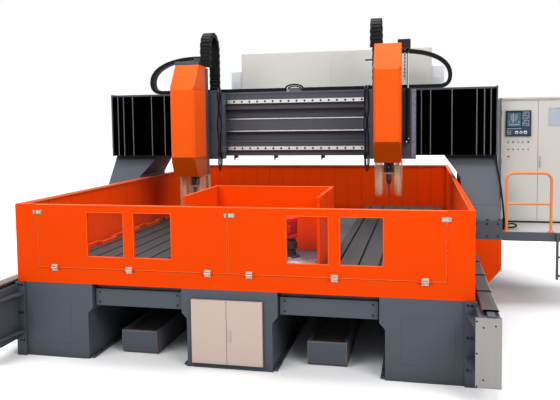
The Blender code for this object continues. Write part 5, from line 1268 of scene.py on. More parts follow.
def clear_strips(side):
    """Overlapping clear strips that hang round the spindle from a clamped band."""
    low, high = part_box(f"{side}_spindle_guard")
    body = f"{side}_ram"
    strips = Piece(f"{side}_clear_strips")
    middle_strips = Piece(f"{side}_clear_middle_strips")
    edges = Piece(f"{side}_clear_strip_edges")
    top, bottom = high.z - 0.004, low.z + 0.002
    middle = Vector(((low.x + high.x) / 2, (low.y + high.y) / 2, 0))
    half = Vector(((high.x - low.x) / 2, (high.y - low.y) / 2, 0))
    x_way, y_way = Vector((1, 0, 0)), Vector((0, 1, 0))
    for along, outward, reach, depth in (
        (x_way, -y_way, half.x, half.y), (x_way, y_way, half.x, half.y),
        (y_way, -x_way, half.y, half.x), (y_way, x_way, half.y, half.x),
    ):
        count = math.ceil(2 * reach / STRIP_PITCH)
        step = (2 * reach - STRIP_WIDTH) / (count - 1)
        for number in range(count):
            start = -reach + step * number
            inset = 0.0015 if number % 2 else 0.0045
            outline = []
            for part in range(7):
                share = part / 6
                swell = STRIP_BOW * (1 - (2 * share - 1) ** 2) * 0.5
                proud = depth - inset - STRIP_BOW / 2 + swell
                outline.append(middle + along * (start + STRIP_WIDTH * share) + outward * proud)
            back = [point - outward * STRIP_SHEET for point in outline[::-1]]
            inner = 1 < number < count - 2
            target = middle_strips if inner else strips
            target.prism([(p.x, p.y) for p in outline + back], "Z", bottom, top)
            if not inner:
                edges.rod((*outline[0].xy, bottom), (*outline[0].xy, top), 0.0016, sides=6)
    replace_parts(strips.done(CLEAR, body, 0), f"{side}_spindle_guard")
    middle_strips.done(CLEARER, body, 0)
    edges.done(STRIP_EDGE, body, 0)
    band = Piece(f"{side}_clear_strip_band")
    rim = 0.003
    for y0, y1 in ((low.y + 0.0005, low.y + rim), (high.y - rim, high.y - 0.0005)):
        band.box((low.x + 0.0005, y0, high.z - 0.012), (high.x - 0.0005, y1, high.z - 0.0005))
    for x0, x1 in ((low.x + 0.0005, low.x + rim), (high.x - rim, high.x - 0.0005)):
        band.box((x0, low.y + rim, high.z - 0.012), (x1, high.y - rim, high.z - 0.0005))
    for x in even(low.x + 0.03, high.x - 0.03, 4):
        band.screw((x, low.y + 0.0006, high.z - 0.006), OUT, 0.004, 0.0005)
    band.done(DULL, body, 0.0006)


BARREL = (
    (0.0302, 2.381), (0.0335, 2.385), (0.0335, 2.43), (0.0305, 2.434), (0.0305, 3.166), (0.0335, 3.17),
    (0.0335, 3.218), (0.0305, 3.222), (0.019, 3.222),
)


def cylinder(side, outward):
    """Barrel sleeve with caps, chrome rod, clevis and a thin beaded feed strip beside the rod."""
    x, y = HEAD_X[side] + outward * 0.28, behind(3.53)
    slide_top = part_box(f"{side}_ram_slide")[1].z
    head, ram = f"{side}_head", f"{side}_ram"
    barrel = Piece(f"{side}_cylinder_sleeve")
    barrel.turned(BARREL, (x, y, 0))
    barrel.done(BLACK, head, 0.001)
    tie_rods = Piece(f"{side}_cylinder_tie_rods")
    for step in range(4):
        place = Vector((x, y, 0)) + round_vector(math.pi / 4 + math.pi / 2 * step) * 0.0325
        tie_rods.rod((*place.xy, 2.386), (*place.xy, 3.216), 0.0024, sides=8)
    tie_rods.done(SCREW_BLACK, head, 0)
    eye = Piece(f"{side}_cylinder_eye")
    eye.rod((x - 0.02, y - 0.014, 2.40), (x - 0.02, y - 0.034, 2.40), 0.013, sides=16)
    eye.rod((x + 0.012, y - 0.02, 2.45), (x + 0.012, y - 0.038, 2.45), 0.009, sides=12)
    eye.done(BRIGHT, head, 0.001)
    rod = Piece(f"{side}_cylinder_rod_face")
    rod.rod((x, y, 3.222), (x, y, slide_top - 0.13), 0.0134, sides=24)
    rod.done(CHROME, ram, 0)
    nut = Piece(f"{side}_cylinder_rod_nut")
    nut.rod((x, y, slide_top - 0.165), (x, y, slide_top - 0.128), 0.022, sides=6)
    nut.rod((x, y, slide_top - 0.195), (x, y, slide_top - 0.165), 0.017, sides=20)
    nut.done(SCREW_BLACK, ram, 0.001)
    feed_x, feed_y = x - outward * 0.045, behind(3.45)
    strip = (feed_x - 0.009, feed_y, slide_top - 0.60), (feed_x + 0.009, feed_y + 0.006, slide_top - 0.125)
    boxes(f"{side}_ram_feed_strip", BLACK, ram, 0.0008, strip)
    beads = Piece(f"{side}_ram_feed_beads")
    for z in even(slide_top - 0.58, slide_top - 0.15, 8):
        beads.rod((feed_x, feed_y - 0.005, z - 0.012), (feed_x, feed_y - 0.005, z + 0.012), 0.0062, sides=12)
    beads.done(WHITE, ram, 0.0012)


SADDLE_HOSES = (
    # distance from the head's middle, radius, lower end, sway
    (0.346, 0.008, 2.30, 0.014), (0.372, 0.0085, 2.22, -0.015), (0.391, 0.007, 2.38, 0.009),
    (0.328, 0.0055, 2.2, 0.013),
)
# inner and outer edge from the head's middle, bottom, top
SADDLE_PLATES = ((0.315, 0.19, 2.17, 2.36), (-0.20, -0.33, 2.155, 2.655), (-0.20, -0.33, 2.665, 3.2))
# lowest point, radius, shift
SADDLE_LOOPS = ((1.935, 0.0075, 0.0), (1.965, 0.006, 0.016), (2.015, 0.006, -0.012))


def saddle_trim(side, outward):
    """Edge strip, face plates, bolts, hoses down the inner edge with their block, and the rail wipers."""
    middle = HEAD_X[side]
    body = f"{side}_head"
    face = SADDLE_FACE
    x = sorted((middle + outward * 0.333, middle + outward * 0.397))
    boxes(
        f"{side}_saddle_edge_strip", BLUE_GREY, body, 0.0015,
        ((x[0], face - 0.005, 2.15), (x[1], face + 0.001, 3.205)),
    )
    plates = []
    for inner, outer, bottom, top in SADDLE_PLATES:
        x = sorted((middle + outward * inner, middle + outward * outer))
        plates.append(((x[0], face - 0.003, bottom), (x[1], face + 0.001, top)))
    boxes(f"{side}_saddle_face_plate", GREY, body, 0.001, *plates)
    bolts = Piece(f"{side}_saddle_bolts")
    for z in even(2.19, 3.17, 9):
        bolts.bolt((middle + outward * 0.386, face - 0.005, z), OUT, 0.0045, 0.004)
    for z in (2.18, 2.63, 2.69, 3.17):
        for reach in (0.215, 0.315):
            bolts.bolt((middle - outward * reach, face - 0.003, z), OUT, 0.007, 0.006)
    for hand in (-0.36, 0.36):
        seat = face - (0.005 if hand * outward > 0 else 0.0)
        for z in (2.2, 2.39, 2.98, 3.17):
            bolts.bolt((middle + hand, seat, z), OUT, 0.006, 0.005)
    bolts.done(SCREW_BLACK, body, 0.0008)
    for number, (reach, radius, bottom, sway) in enumerate(SADDLE_HOSES, 1):
        x = middle - outward * reach
        y = face - radius - 0.002
        top = 3.262 if number % 2 else 3.235
        route = [
            (x + outward * 0.05, behind(3.74), top + 0.012), (x + outward * 0.02, behind(3.66), top + 0.02),
            (x, y - 0.006, 3.19), (x + sway, y, 2.95), (x - sway, y, 2.7), (x + sway * 0.5, y, 2.45),
            (x, y, bottom),
        ]
        pipe(f"{side}_saddle_hose_{number}", route, radius, HOSE if number % 2 else BLACK, body)
    inner = middle - outward * 0.35
    for number, (drop, radius, shift) in enumerate(SADDLE_LOOPS, 1):
        start, end = inner - outward * (0.03 + shift), inner + outward * (0.022 - shift)
        route = [
            (start, face - 0.012, 2.24), (start, face - 0.012, 2.15),
            (start + outward * 0.004, face - 0.01, 2.06),
            (inner - outward * 0.014, face - 0.008, drop + 0.03), (inner, face - 0.006, drop),
            (inner + outward * 0.014, face - 0.004, drop + 0.035), (end, face + 0.002, 2.05),
            (end, face + 0.02, 2.128),
        ]
        pipe(f"{side}_saddle_loop_{number}", route, radius, BLACK, body)
    block = Piece(f"{side}_saddle_hose_block")
    x = sorted((inner + outward * 0.02, inner - outward * 0.048))
    block.box((x[0], face - 0.028, 2.205), (x[1], face + 0.001, 2.25))
    block.box((x[0], face - 0.024, 3.14), (x[1], face + 0.001, 3.17))
    for share in (0.25, 0.75):
        block.bolt((x[0] + (x[1] - x[0]) * share, face - 0.028, 2.2275), OUT, 0.006, 0.005)
    block.done(SCREW_BLACK, body, 0.001)
    wipers = Piece(f"{side}_saddle_wipers")
    for z in RAIL_HEIGHTS:
        for end in (-0.352, 0.352):
            x = middle + end
            wipers.box((x - 0.004, behind(3.832), z - 0.052), (x + 0.004, behind(3.88), z + 0.052))
    wipers.done(RUBBER, body, 0.001)


def head_top(side, outward):
    """Bolts on the head box and the ram cover, the cover's lid, its screws and the brackets under it."""
    slide_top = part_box(f"{side}_ram_slide")[1].z
    low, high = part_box(f"{side}_ram_cover")
    middle = HEAD_X[side]
    body = f"{side}_ram"
    bolts = Piece(f"{side}_head_box_bolts")
    for reach in (0.165, 0.225, 0.285):
        bolts.bolt((middle + outward * reach, behind(3.40), slide_top - 0.035), OUT, 0.007, 0.006)
        bolts.bolt((middle + outward * reach, behind(3.49), slide_top), UP, 0.009, 0.008)
    for x in even(low.x + 0.04, high.x - 0.04, 3):
        bolts.bolt((x, behind(3.23), high.z), UP, 0.008, 0.007)
    bolts.done(SCREW_BLACK, body, 0.0008)
    lid = (low.x + 0.012, behind(3.10), high.z - 0.001), (high.x - 0.012, behind(3.375), high.z + 0.0025)
    boxes(f"{side}_ram_cover_lid", LIT_COVER_ORANGE, body, 0.001, lid)
    screws = Piece(f"{side}_ram_cover_screws")
    for hand in (-1, 1):
        for z in even(low.z + 0.12, high.z - 0.25, 6):
            screws.screw((middle + hand * 0.195, behind(3.345), z), Vector((hand, 0, 0)), 0.006, 0.002)
    screws.done(SCREW_BLACK, body, 0.0005)
    brackets = Piece(f"{side}_ram_underside_brackets")
    for x in (low.x + 0.035, high.x - 0.035):
        brackets.box((x - 0.012, behind(3.02), low.z + 0.0003), (x + 0.012, behind(3.1), low.z + 0.004))
        brackets.bolt((x, behind(3.06), low.z + 0.004), -UP, 0.005, 0.0035)
    brackets.done(SCREW_BLACK, body, 0.0005)


# A stud with two nuts and its bracket on the inner side of the right ram, a black plate on the head box

slide_low, slide_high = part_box("right_ram_slide")
STUD_Y, STUD_Z = behind(3.404), 3.655
lug = Piece("right_ram_lug")
lug.box((slide_low.x - 0.05, behind(3.388), 3.630), (slide_low.x + 0.001, behind(3.42), 3.677))
STUD_AND_NUTS = ((0.175, 0.045, 0.012, 16), (0.06, 0.05, 0.015, 6), (0.075, 0.063, 0.015, 6))
for start, end, radius, sides in STUD_AND_NUTS:
    lug.rod((slide_low.x - start, STUD_Y, STUD_Z), (slide_low.x - end, STUD_Y, STUD_Z), radius, sides=sides)
lug.done(BLACK, "right_ram", 0.001)
boxes(
    "right_head_box_skin", SCREW_BLACK, "right_ram", 0.0006,
    ((HEAD_X["right"] + 0.132, behind(3.3985), slide_high.z - 0.126),
     (HEAD_X["right"] + 0.318, behind(3.4002), slide_high.z - 0.002)),
)
for side, sign in SIDES:
    beam_chain(side, sign)
    ram_chain(side)
    spindle(side)
    clear_strips(side)
    cylinder(side, sign)
    saddle_trim(side, sign)
    head_top(side, sign)


# Electrical cabinet behind the beam: doors, cap, handles, hinges, vents, coolers

REAR_LOW, REAR_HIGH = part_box("rear_electrical_cabinet")
REAR_LEFT, REAR_RIGHT, REAR_SEAM = -1.09, 2.237, 0.528
REAR_EDGES = even(REAR_LEFT + 0.02, REAR_RIGHT - 0.02, 4)


def sheet_on(face, outward, edges_x, edges_z):
    """The corners of a door's sheet on a face, a hair inside the gap round it."""
    near, far = sorted((face - outward * 0.0005, face + outward * 0.003))
    return (edges_x[0] + 0.003, near, edges_z[0]), (edges_x[1] - 0.003, far, edges_z[1])


front_edges = (REAR_EDGES[0], REAR_SEAM, REAR_EDGES[-1])
for name, face, outward, edges, bottom in (
    ("front", REAR_LOW.y, -1, front_edges, 3.27), ("back", REAR_HIGH.y, 1, REAR_EDGES, 2.63),
):
    sheets = [sheet_on(face, outward, limits, (bottom, 3.92)) for limits in zip(edges, edges[1:])]
    boxes(f"rear_cabinet_{name}_doors", BEIGE, "gantry", 0.0025, *sheets)
cap_low = (REAR_LEFT - 0.004, REAR_LOW.y + 0.001, REAR_HIGH.z - 0.022)
cap_high = (REAR_RIGHT + 0.004, REAR_HIGH.y + 0.002, REAR_HIGH.z - 0.0005)
boxes("rear_cabinet_top_cap", BEIGE, "gantry", 0.003, (cap_low, cap_high))
handles = Piece("rear_cabinet_handles")
hinges = Piece("rear_cabinet_hinges")
vents = Piece("rear_cabinet_vents")
face = REAR_HIGH.y + 0.003
door_width = (REAR_RIGHT - REAR_LEFT - 0.04) / 4
for number, edge in enumerate(REAR_EDGES[:-1]):
    opens_left = number % 2
    x = edge + (0.05 if opens_left else door_width - 0.05)
    hinge_x = edge + (door_width - 0.012 if opens_left else 0.012)
    handles.box((x - 0.014, face - 0.001, 3.2), (x + 0.014, face + 0.005, 3.36))
    handles.box((x - 0.009, face + 0.004, 3.215), (x + 0.009, face + 0.014, 3.33))
    handles.rod((x, face + 0.004, 3.345), (x, face + 0.009, 3.345), 0.008, sides=16)
    for z in (2.75, 3.27, 3.8):
        hinges.rod((hinge_x, face + 0.004, z - 0.03), (hinge_x, face + 0.004, z + 0.03), 0.006, sides=12)
    for step in range(7):
        z = 2.72 + 0.022 * step
        near, far = REAR_HIGH.y + 0.0025, REAR_HIGH.y + 0.009
        vents.prism([(near, z), (far, z + 0.003), (near, z + 0.014)], "X", edge + 0.25, edge + 0.58)
handles.done(BLACK, "gantry", 0.002)
hinges.done(DULL, "gantry", 0.0008)
vents.done(BEIGE, "gantry", 0)

COOLER_BOTTOM, COOLER_TOP = 3.31, 3.64
COOLER_FRONT, COOLER_BACK = behind(4.78), behind(5.08)
COOLER_SKIN = 0.002
for side, low_x, high_x, outward in (("left", -1.29, REAR_LEFT, -1), ("right", REAR_RIGHT, 2.437, 1)):
    outer = low_x if outward < 0 else high_x
    end_x = sorted((outer - outward * 0.001, outer + outward * COOLER_SKIN))
    boxes(
        f"{side}_cooler_shell", COOLER, "gantry", 0.003,
        ((low_x, COOLER_FRONT - COOLER_SKIN, COOLER_BOTTOM), (high_x, COOLER_FRONT + 0.001, COOLER_TOP)),
        ((low_x, COOLER_BACK - 0.001, COOLER_BOTTOM), (high_x, COOLER_BACK + COOLER_SKIN, COOLER_TOP)),
        ((low_x, COOLER_FRONT, COOLER_TOP - 0.001), (high_x, COOLER_BACK, COOLER_TOP + COOLER_SKIN)),
        ((low_x, COOLER_FRONT, COOLER_BOTTOM - COOLER_SKIN), (high_x, COOLER_BACK, COOLER_BOTTOM + 0.001)),
        ((end_x[0], COOLER_FRONT, COOLER_BOTTOM), (end_x[1], COOLER_BACK, COOLER_TOP)),
    )
    grille = Piece(f"{side}_cooler_louvres")
    for step in range(9):
        z = 3.34 + 0.014 * step
        near, far = outer + outward * 0.0015, outer + outward * 0.008
        slat = [(near, z), (far, z + 0.002), (near, z + 0.009)]
        grille.prism(slat, "Y", COOLER_FRONT + 0.03, COOLER_BACK - 0.03)
        near, far = COOLER_FRONT - 0.0015, COOLER_FRONT - 0.006
        grille.prism([(near, z), (far, z + 0.002), (near, z + 0.009)], "X", low_x + 0.03, high_x - 0.03)
    grille.done(COOLER, "gantry", 0)
    fan = Piece(f"{side}_cooler_fan_guard")
    middle = Vector((outer + outward * 0.003, (COOLER_FRONT + COOLER_BACK) / 2, 3.55))
    for radius in (0.065, 0.048, 0.031, 0.014):
        ring = []
        for step in range(24):
            angle = 2 * math.pi * step / 24
            ring.append(Vector((0, math.cos(angle), math.sin(angle))) * radius + middle)
        for start, end in zip(ring, ring[1:] + ring[:1]):
            fan.rod(start, end, 0.0016, sides=6)
    for angle in (0, math.pi / 2):
        reach = Vector((0, math.cos(angle), math.sin(angle))) * 0.066
        fan.rod(middle - reach, middle + reach, 0.0018, sides=6)
    fan.done(DULL, "gantry", 0)


# Control cabinet: operator's unit, buttons, handle, window

LEFT_LEAF, RIGHT_LEAF = "control_cabinet_left_leaf", "control_cabinet_right_leaf"
DOOR_FACE = behind(4.175)
UNIT_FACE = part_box("control_cabinet_left_door")[0].y
UNIT_LEFT, UNIT_RIGHT, UNIT_BOTTOM, UNIT_TOP = 3.362, 3.738, 2.457, 2.858


def facings(name, material, body, rounding, face, proud, sunk, *limits):
    """Boxes on a face, each given by its limits in X and in Z, from proud of the face to sunk into it."""
    corners = [((x0, face - proud, z0), (x1, face - sunk, z1)) for x0, x1, z0, z1 in limits]
    return boxes(name, material, body, rounding, *corners)


facings(
    "operator_unit_face", PANEL, LEFT_LEAF, 0.002, UNIT_FACE, 0.0015, -0.001,
    (UNIT_LEFT, UNIT_RIGHT, UNIT_BOTTOM, UNIT_TOP),
)
facings(
    "operator_unit_bezel", BLACK, LEFT_LEAF, 0.0015, UNIT_FACE, 0.006, 0.001,
    (UNIT_LEFT, UNIT_RIGHT, 2.848, UNIT_TOP), (UNIT_LEFT, UNIT_RIGHT, UNIT_BOTTOM, 2.465),
    (UNIT_LEFT, 3.370, 2.465, 2.848), (3.730, UNIT_RIGHT, 2.465, 2.848),
    (3.372, 3.382, 2.60, 2.838), (3.592, 3.602, 2.60, 2.838),
    (3.372, 3.602, 2.828, 2.838), (3.372, 3.602, 2.592, 2.602),
)
facings(
    "operator_unit_screen", SCREEN, LEFT_LEAF, 0.001, UNIT_FACE, 0.003, 0.0012, (3.385, 3.589, 2.605, 2.825),
)
facings(
    "operator_unit_screen_bars", SCREEN_BAR, LEFT_LEAF, 0, UNIT_FACE, 0.0035, 0.0028,
    (3.435, 3.448, 2.70, 2.795), (3.458, 3.484, 2.668, 2.808), (3.496, 3.506, 2.69, 2.79),
    (3.518, 3.53, 2.71, 2.80), (3.405, 3.57, 2.628, 2.648), (3.405, 3.42, 2.668, 2.69),
    (3.545, 3.57, 2.668, 2.69),
)


def key(piece, x, z, half_width):
    """A key on the operator's unit."""
    piece.box((x - half_width, UNIT_FACE - 0.0045, z - 0.007), (x + half_width, UNIT_FACE - 0.001, z + 0.007))


keys = Piece("operator_unit_keys")
dark_keys = Piece("operator_unit_dark_keys")
for row in range(9):
    for column in range(4):
        x, z = 3.617 + 0.028 * column, 2.83 - 0.026 * row
        target = dark_keys if (row + 2 * column) % 5 == 0 else keys
        key(target, x, z, 0.008)
for column in range(9):
    x = 0.0235 * column
    keys.box((3.384 + x, UNIT_FACE - 0.0035, 2.568), (3.4 + x, UNIT_FACE - 0.001, 2.582))
for row in range(3):
    for column in range(3):
        key(keys, 3.386 + 0.024 * column, 2.54 - 0.024 * row, 0.007)
keys.done(KEY_GREY, LEFT_LEAF, 0.0012)
dark_keys.done(LIGHT_GREY, LEFT_LEAF, 0.0012)
KNOB_Z = 2.515
knobs = Piece("operator_unit_knobs")
for x, radius in ((3.524, 0.026), (3.588, 0.022), (3.652, 0.027)):
    outline = [(radius, 0.0005), (radius, 0.004), (radius * 0.86, 0.006), (radius * 0.6, 0.007)]
    knobs.turned(outline, (x, UNIT_FACE, KNOB_Z), "Y")
knobs.done(WHITE, LEFT_LEAF, 0.0005)
grips = Piece("operator_unit_knob_grips")
for x, radius in ((3.524, 0.010), (3.588, 0.009), (3.652, 0.011)):
    outline = [(radius, 0.006), (radius, 0.02), (radius * 0.8, 0.022), (0.002, 0.022)]
    grips.turned(outline, (x, UNIT_FACE, KNOB_Z), "Y")
grips.done(BLACK, LEFT_LEAF, 0.001)


def push_button(name, x, z, material, radius=0.018):
    """A cap in a steel ring."""
    ring = Piece(f"{name}_ring")
    outline = [(radius, 0.0002), (radius, 0.004), (radius * 0.8, 0.006), (radius * 0.72, 0.006)]
    ring.turned(outline, (x, DOOR_FACE, z), "Y")
    ring.done(DULL, LEFT_LEAF, 0.0005)
    button = Piece(f"{name}_cap")
    outline = [(radius * 0.7, 0.001), (radius * 0.7, 0.009), (radius * 0.55, 0.011), (0.001, 0.0112)]
    button.turned(outline, (x, DOOR_FACE, z), "Y")
    button.done(material, LEFT_LEAF, 0.0006)


UPPER_BUTTONS = ((3.405, GREEN), (3.48, RED), (3.557, GREEN), (3.623, GREEN), (3.70, BLACK))
for number, (x, material) in enumerate(UPPER_BUTTONS, 1):
    push_button(f"upper_button_{number}", x, 2.365, material)
for number, x in enumerate(even(3.407, 3.701, 4), 1):
    push_button(f"middle_button_{number}", x, 2.249, BLACK, 0.011)
push_button("stop_button", 3.412, 2.135, RED, 0.02)

HANDLE_X, HANDLE_Z = 3.878, 2.051
handle = Piece("control_cabinet_handle")
# half width, front and back from the door's face, bottom and top from the middle
HANDLE_PARTS = ((0.014, -0.004, 0.001, -0.09, 0.09), (0.009, -0.016, -0.003, -0.08, 0.03))
for half, front, back, bottom, top in HANDLE_PARTS:
    handle.box(
        (HANDLE_X - half, DOOR_FACE + front, HANDLE_Z + bottom),
        (HANDLE_X + half, DOOR_FACE + back, HANDLE_Z + top),
    )
lock_z = HANDLE_Z + 0.06
handle.rod((HANDLE_X, DOOR_FACE - 0.004, lock_z), (HANDLE_X, DOOR_FACE - 0.01, lock_z), 0.009)
handle.done(DULL, RIGHT_LEAF, 0.0025, 3)
facings(
    "control_cabinet_window", WINDOW_GLASS, RIGHT_LEAF, 0.0005, DOOR_FACE, 0.0015, HAIR,
    (4.01, 4.268, 2.63, 2.882),
)
facings(
    "control_cabinet_window_rim", DULL, RIGHT_LEAF, 0.0015, DOOR_FACE, 0.006, -0.001,
    (3.998, 4.28, 2.882, 2.894), (3.998, 4.28, 2.617, 2.63), (3.998, 4.01, 2.63, 2.882),
    (4.268, 4.28, 2.63, 2.882),
)
for side, x, leaf in (("left", 3.3055, LEFT_LEAF), ("right", 4.3845, RIGHT_LEAF)):
    hinges = Piece(f"control_cabinet_{side}_hinges")
    y = DOOR_FACE - 0.0055
    for z in (1.3, 2.06, 2.82):
        hinges.rod((x, y, z - 0.04), (x, y, z + 0.04), 0.0055, sides=14)
    hinges.done(DULL, leaf, 0.0008)
low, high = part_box("control_cabinet")
middle_x = (low.x + high.x) / 2
roof = (low.x + 0.0005, low.y - 0.012, high.z - 0.03), (high.x - 0.0005, high.y - 0.001, high.z - 0.0005)
boxes("control_cabinet_roof_edge", BEIGE, "gantry", 0.003, roof)
# A dark strip at the cabinet's foot, for the plinth and the shadow gap under it: partly painted shade.
plinth_and_shadow = (low.x + 0.004, low.y - 0.002, low.z + 0.0005), (high.x - 0.004, low.y + 0.001, low.z + 0.026)
boxes("control_cabinet_plinth", SCREW_BLACK, "gantry", 0.001, plinth_and_shadow)
slots = Piece("control_cabinet_side_vents")
for step in range(10):
    z = 1.35 + 0.022 * step
    for x, hand in ((low.x, -1), (high.x, 1)):
        near, far = x + hand * -0.001, x + hand * 0.003
        slots.prism([(near, z), (far, z + 0.003), (near, z + 0.014)], "Y", 0.78, 1.02)
slots.done(BEIGE, "gantry", 0)
back_doors = Piece("control_cabinet_back_panels")
for low_x, high_x in ((low.x + 0.02, middle_x - 0.002), (middle_x + 0.002, high.x - 0.02)):
    back_doors.box((low_x, high.y - 0.001, low.z + 0.04), (high_x, high.y + 0.003, high.z - 0.05))
back_doors.done(BEIGE, "gantry", 0.0025)

# Gear in the control cabinet, seen when its doors stand open

BOARD_FACE = 1.0895
boxes("control_gear_board", DULL, "gantry", 0.002, ((3.36, 1.09, 1.2), (4.33, 1.096, 2.95)))
ducts = [((3.40, 1.04, z - 0.025), (4.29, BOARD_FACE, z + 0.025)) for z in (1.28, 1.68, 2.08, 2.48, 2.88)]
ducts += [((x, 1.04, 1.24), (x + 0.04, BOARD_FACE, 2.92)) for x in (3.37, 4.28)]
boxes("control_gear_ducts", LIGHT_GREY, "gantry", 0.002, *ducts)
modules = Piece("control_gear_modules")
dark_modules = Piece("control_gear_dark_modules")
chooser = random.Random(7)
for z in (1.48, 1.88, 2.28, 2.68):
    x = 3.44
    while x < 4.22:
        width = chooser.choice((0.045, 0.06, 0.09, 0.13))
        height = chooser.choice((0.16, 0.2, 0.24))
        face = BOARD_FACE - chooser.choice((0.08, 0.11, 0.14))
        target = dark_modules if chooser.random() < 0.4 else modules
        target.box((x, face, z - height / 2), (x + width, BOARD_FACE, z + height / 2))
        reach = height * 0.3
        target.box((x + 0.006, face - 0.004, z - reach), (x + width - 0.006, face + 0.001, z + reach))
        x += width + 0.012
modules.done(WHITE, "gantry", 0.003)
dark_modules.done(BLACK, "gantry", 0.003)
for number, (x, material) in enumerate(((3.50, HOSE), (3.68, BLACK), (3.9, RED), (4.1, HOSE)), 1):
    route = [
        (x, 1.03, 1.70), (x + 0.01, 1.0, 1.76), (x - 0.005, 0.98, 1.85), (x + 0.012, 1.0, 1.97),
        (x, 1.03, 2.06),
    ]
    pipe(f"control_gear_wires_{number}", route, 0.006, material, "gantry")

# Platform: edge strips, tread plate, handrail flanges, ladder rungs, cable loop by the gland

low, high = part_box("operator_platform")
deck = high.z
boxes(
    "platform_edge_strips", GREY, "gantry", 0.001,
    ((low.x + 0.001, low.y + 0.001, deck - 0.001), (high.x - 0.001, low.y + 0.03, deck + 0.004)),
    ((high.x - 0.031, low.y + 0.03, deck - 0.001), (high.x - 0.001, high.y - 0.001, deck + 0.004)),
)
tread = (low.x + 0.006, low.y + 0.031, deck - 0.001), (high.x - 0.032, high.y - 0.006, deck + 0.003)
boxes("platform_tread_plate", TREAD, "gantry", 0.001, tread)
POST_Y, FLANGE_TOP = behind(3.26), deck + 0.008
flanges = Piece("handrail_flanges")
flange_bolts = Piece("handrail_flange_bolts")
for x in (3.28, 3.89):
    flanges.box((x - 0.04, POST_Y - 0.04, deck + HAIR), (x + 0.04, POST_Y + 0.04, FLANGE_TOP))
    flanges.turned([(0.034, 0.0), (0.034, 0.006), (0.026, 0.02), (0.0255, 0.02)], (x, POST_Y, FLANGE_TOP))
    for bolt_x in (-0.028, 0.028):
        for bolt_y in (-0.028, 0.028):
            flange_bolts.bolt((x + bolt_x, POST_Y + bolt_y, FLANGE_TOP), UP, 0.006, 0.006)
flanges.done(RAIL_ORANGE, "gantry", 0.002)
flange_bolts.done(SCREW_BLACK, "gantry", 0.0006)
low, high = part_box("platform_ladder")
rung_y = (low.y + high.y) / 2
rings = Piece("ladder_rung_rings")
for z in (0.475, 0.745, 1.015):
    for x in even(3.99, 4.36, 10):
        rings.rod((x - 0.003, rung_y, z), (x + 0.003, rung_y, z), 0.0172, sides=12)
rings.done(GREY, "gantry", 0)
GLAND_LOOP = (
    (3.27, 3.40, 1.135), (3.30, 3.37, 1.17), (3.36, 3.36, 1.188), (3.425, 3.40, 1.17), (3.445, 3.46, 1.135),
    (3.41, 3.52, 1.110), (3.35, 3.54, 1.106), (3.30, 3.51, 1.118), (3.28, 3.47, 1.14),
)
pipe("gland_loop_cable", [(x, behind(y), z) for x, y, z in GLAND_LOOP], 0.012, BLACK, "gantry")
low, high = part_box("cable_gland")
collar = Piece("gland_collar")
outline = [(0.031, 0.0), (0.031, 0.018), (0.026, 0.022), (0.026, 0.05), (0.02, 0.056), (0.017, 0.056)]
collar.turned(outline, ((low.x + high.x) / 2, (low.y + high.y) / 2, high.z - 0.004), sides=20)
collar.done(BLACK, "gantry", 0.001)


# Front panel: painted highlights, as pale lines along the doors' edges and the folded lips

for side, sign in SIDES:
    low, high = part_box(f"{side}_front_door")
    # Lighter lines along the doors' bottom and sides: painted highlights.
    lines = Piece(f"{side}_door_edge_lines")
    front, back = behind(-0.0022), behind(0.0005)
    lines.box((low.x, front, 1.0663), (high.x, back, 1.0743))
    for x in (low.x, high.x - 0.007):
        lines.box((x, front, 1.0743), (x + 0.007, back, high.z - 0.009))
    lines.done(EDGE_HIGHLIGHT_ORANGE, f"{side}_flap", 0.0006)
    # A pale line along the doors' tops: a painted highlight.
    top_line = (low.x, front, high.z - 0.009), (high.x, back, high.z - 0.0002)
    boxes(f"{side}_door_top_line", PALE_ORANGE, f"{side}_flap", 0.0006, top_line)
    x = pair(TUB_HALF - 0.0552, TUB_HALF - 0.0515, sign)
    lip = (x[0], behind(0.05), WALL_TOP - 0.025), (x[1], BACK_Y - 0.06, WALL_TOP + 0.0003)
    boxes(f"{side}_wall_lip_line", PALE_ORANGE, "base", 0.0004, lip)
boxes(
    "back_wall_lip_line", PALE_ORANGE, "base", 0.0004,
    ((-INNER_X + 0.03, BACK_Y - 0.0555, WALL_TOP - 0.025),
     (INNER_X - 0.03, BACK_Y - 0.0515, WALL_TOP + 0.0003)),
)
lip = Piece("fence_top_line")
lip_bottom, lip_top = WALL_TOP - 0.006, WALL_TOP + 0.0003
lip.box(
    (-FENCE_HALF + 0.004, FENCE_BACK - 0.0335, lip_bottom),
    (FENCE_HALF - 0.004, FENCE_BACK - 0.0295, lip_top),
)
for sign in (-1, 1):
    x = pair(FENCE_HALF - 0.0335, FENCE_HALF - 0.0295, sign)
    lip.box((x[0], FENCE_FRONT + 0.002, lip_bottom), (x[1], FENCE_BACK - 0.03, lip_top))
lip.done(PALE_ORANGE, "base", 0.0004)


# Tub: stepped orange splash plates along the tables, coolant pump and chips in the fence bay

table_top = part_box("left_work_table")[1].z
plate_top, edge_top = table_top + 0.05, table_top + 0.056
for side, sign in SIDES:
    steps = Piece(f"{side}_splash_plates")
    # The pale edges along the plates' tops are painted highlights.
    steps_top = Piece(f"{side}_splash_plate_edges")
    edges = even(behind(0.5), behind(5.6), 12)
    for number, (low_y, high_y) in enumerate(zip(edges, edges[1:])):
        shift = 0.085 * (number % 2)
        x = pair(2.475 - shift, 2.483 - shift, sign)
        foot = table_top if shift else 0.9
        steps.box((x[0], low_y, foot), (x[1], high_y + 0.008, plate_top))
        steps_top.box((x[0] - 0.001, low_y, plate_top), (x[1] + 0.001, high_y + 0.008, edge_top))
        x = pair(2.39, 2.475, sign)
        steps.box((x[0], low_y, table_top), (x[1], low_y + 0.008, plate_top))
        steps_top.box((x[0], low_y - 0.001, plate_top), (x[1], low_y + 0.009, edge_top))
    steps.done(ORANGE, "base", 0.001)
    steps_top.done(PALE_ORANGE, "base", 0.001)

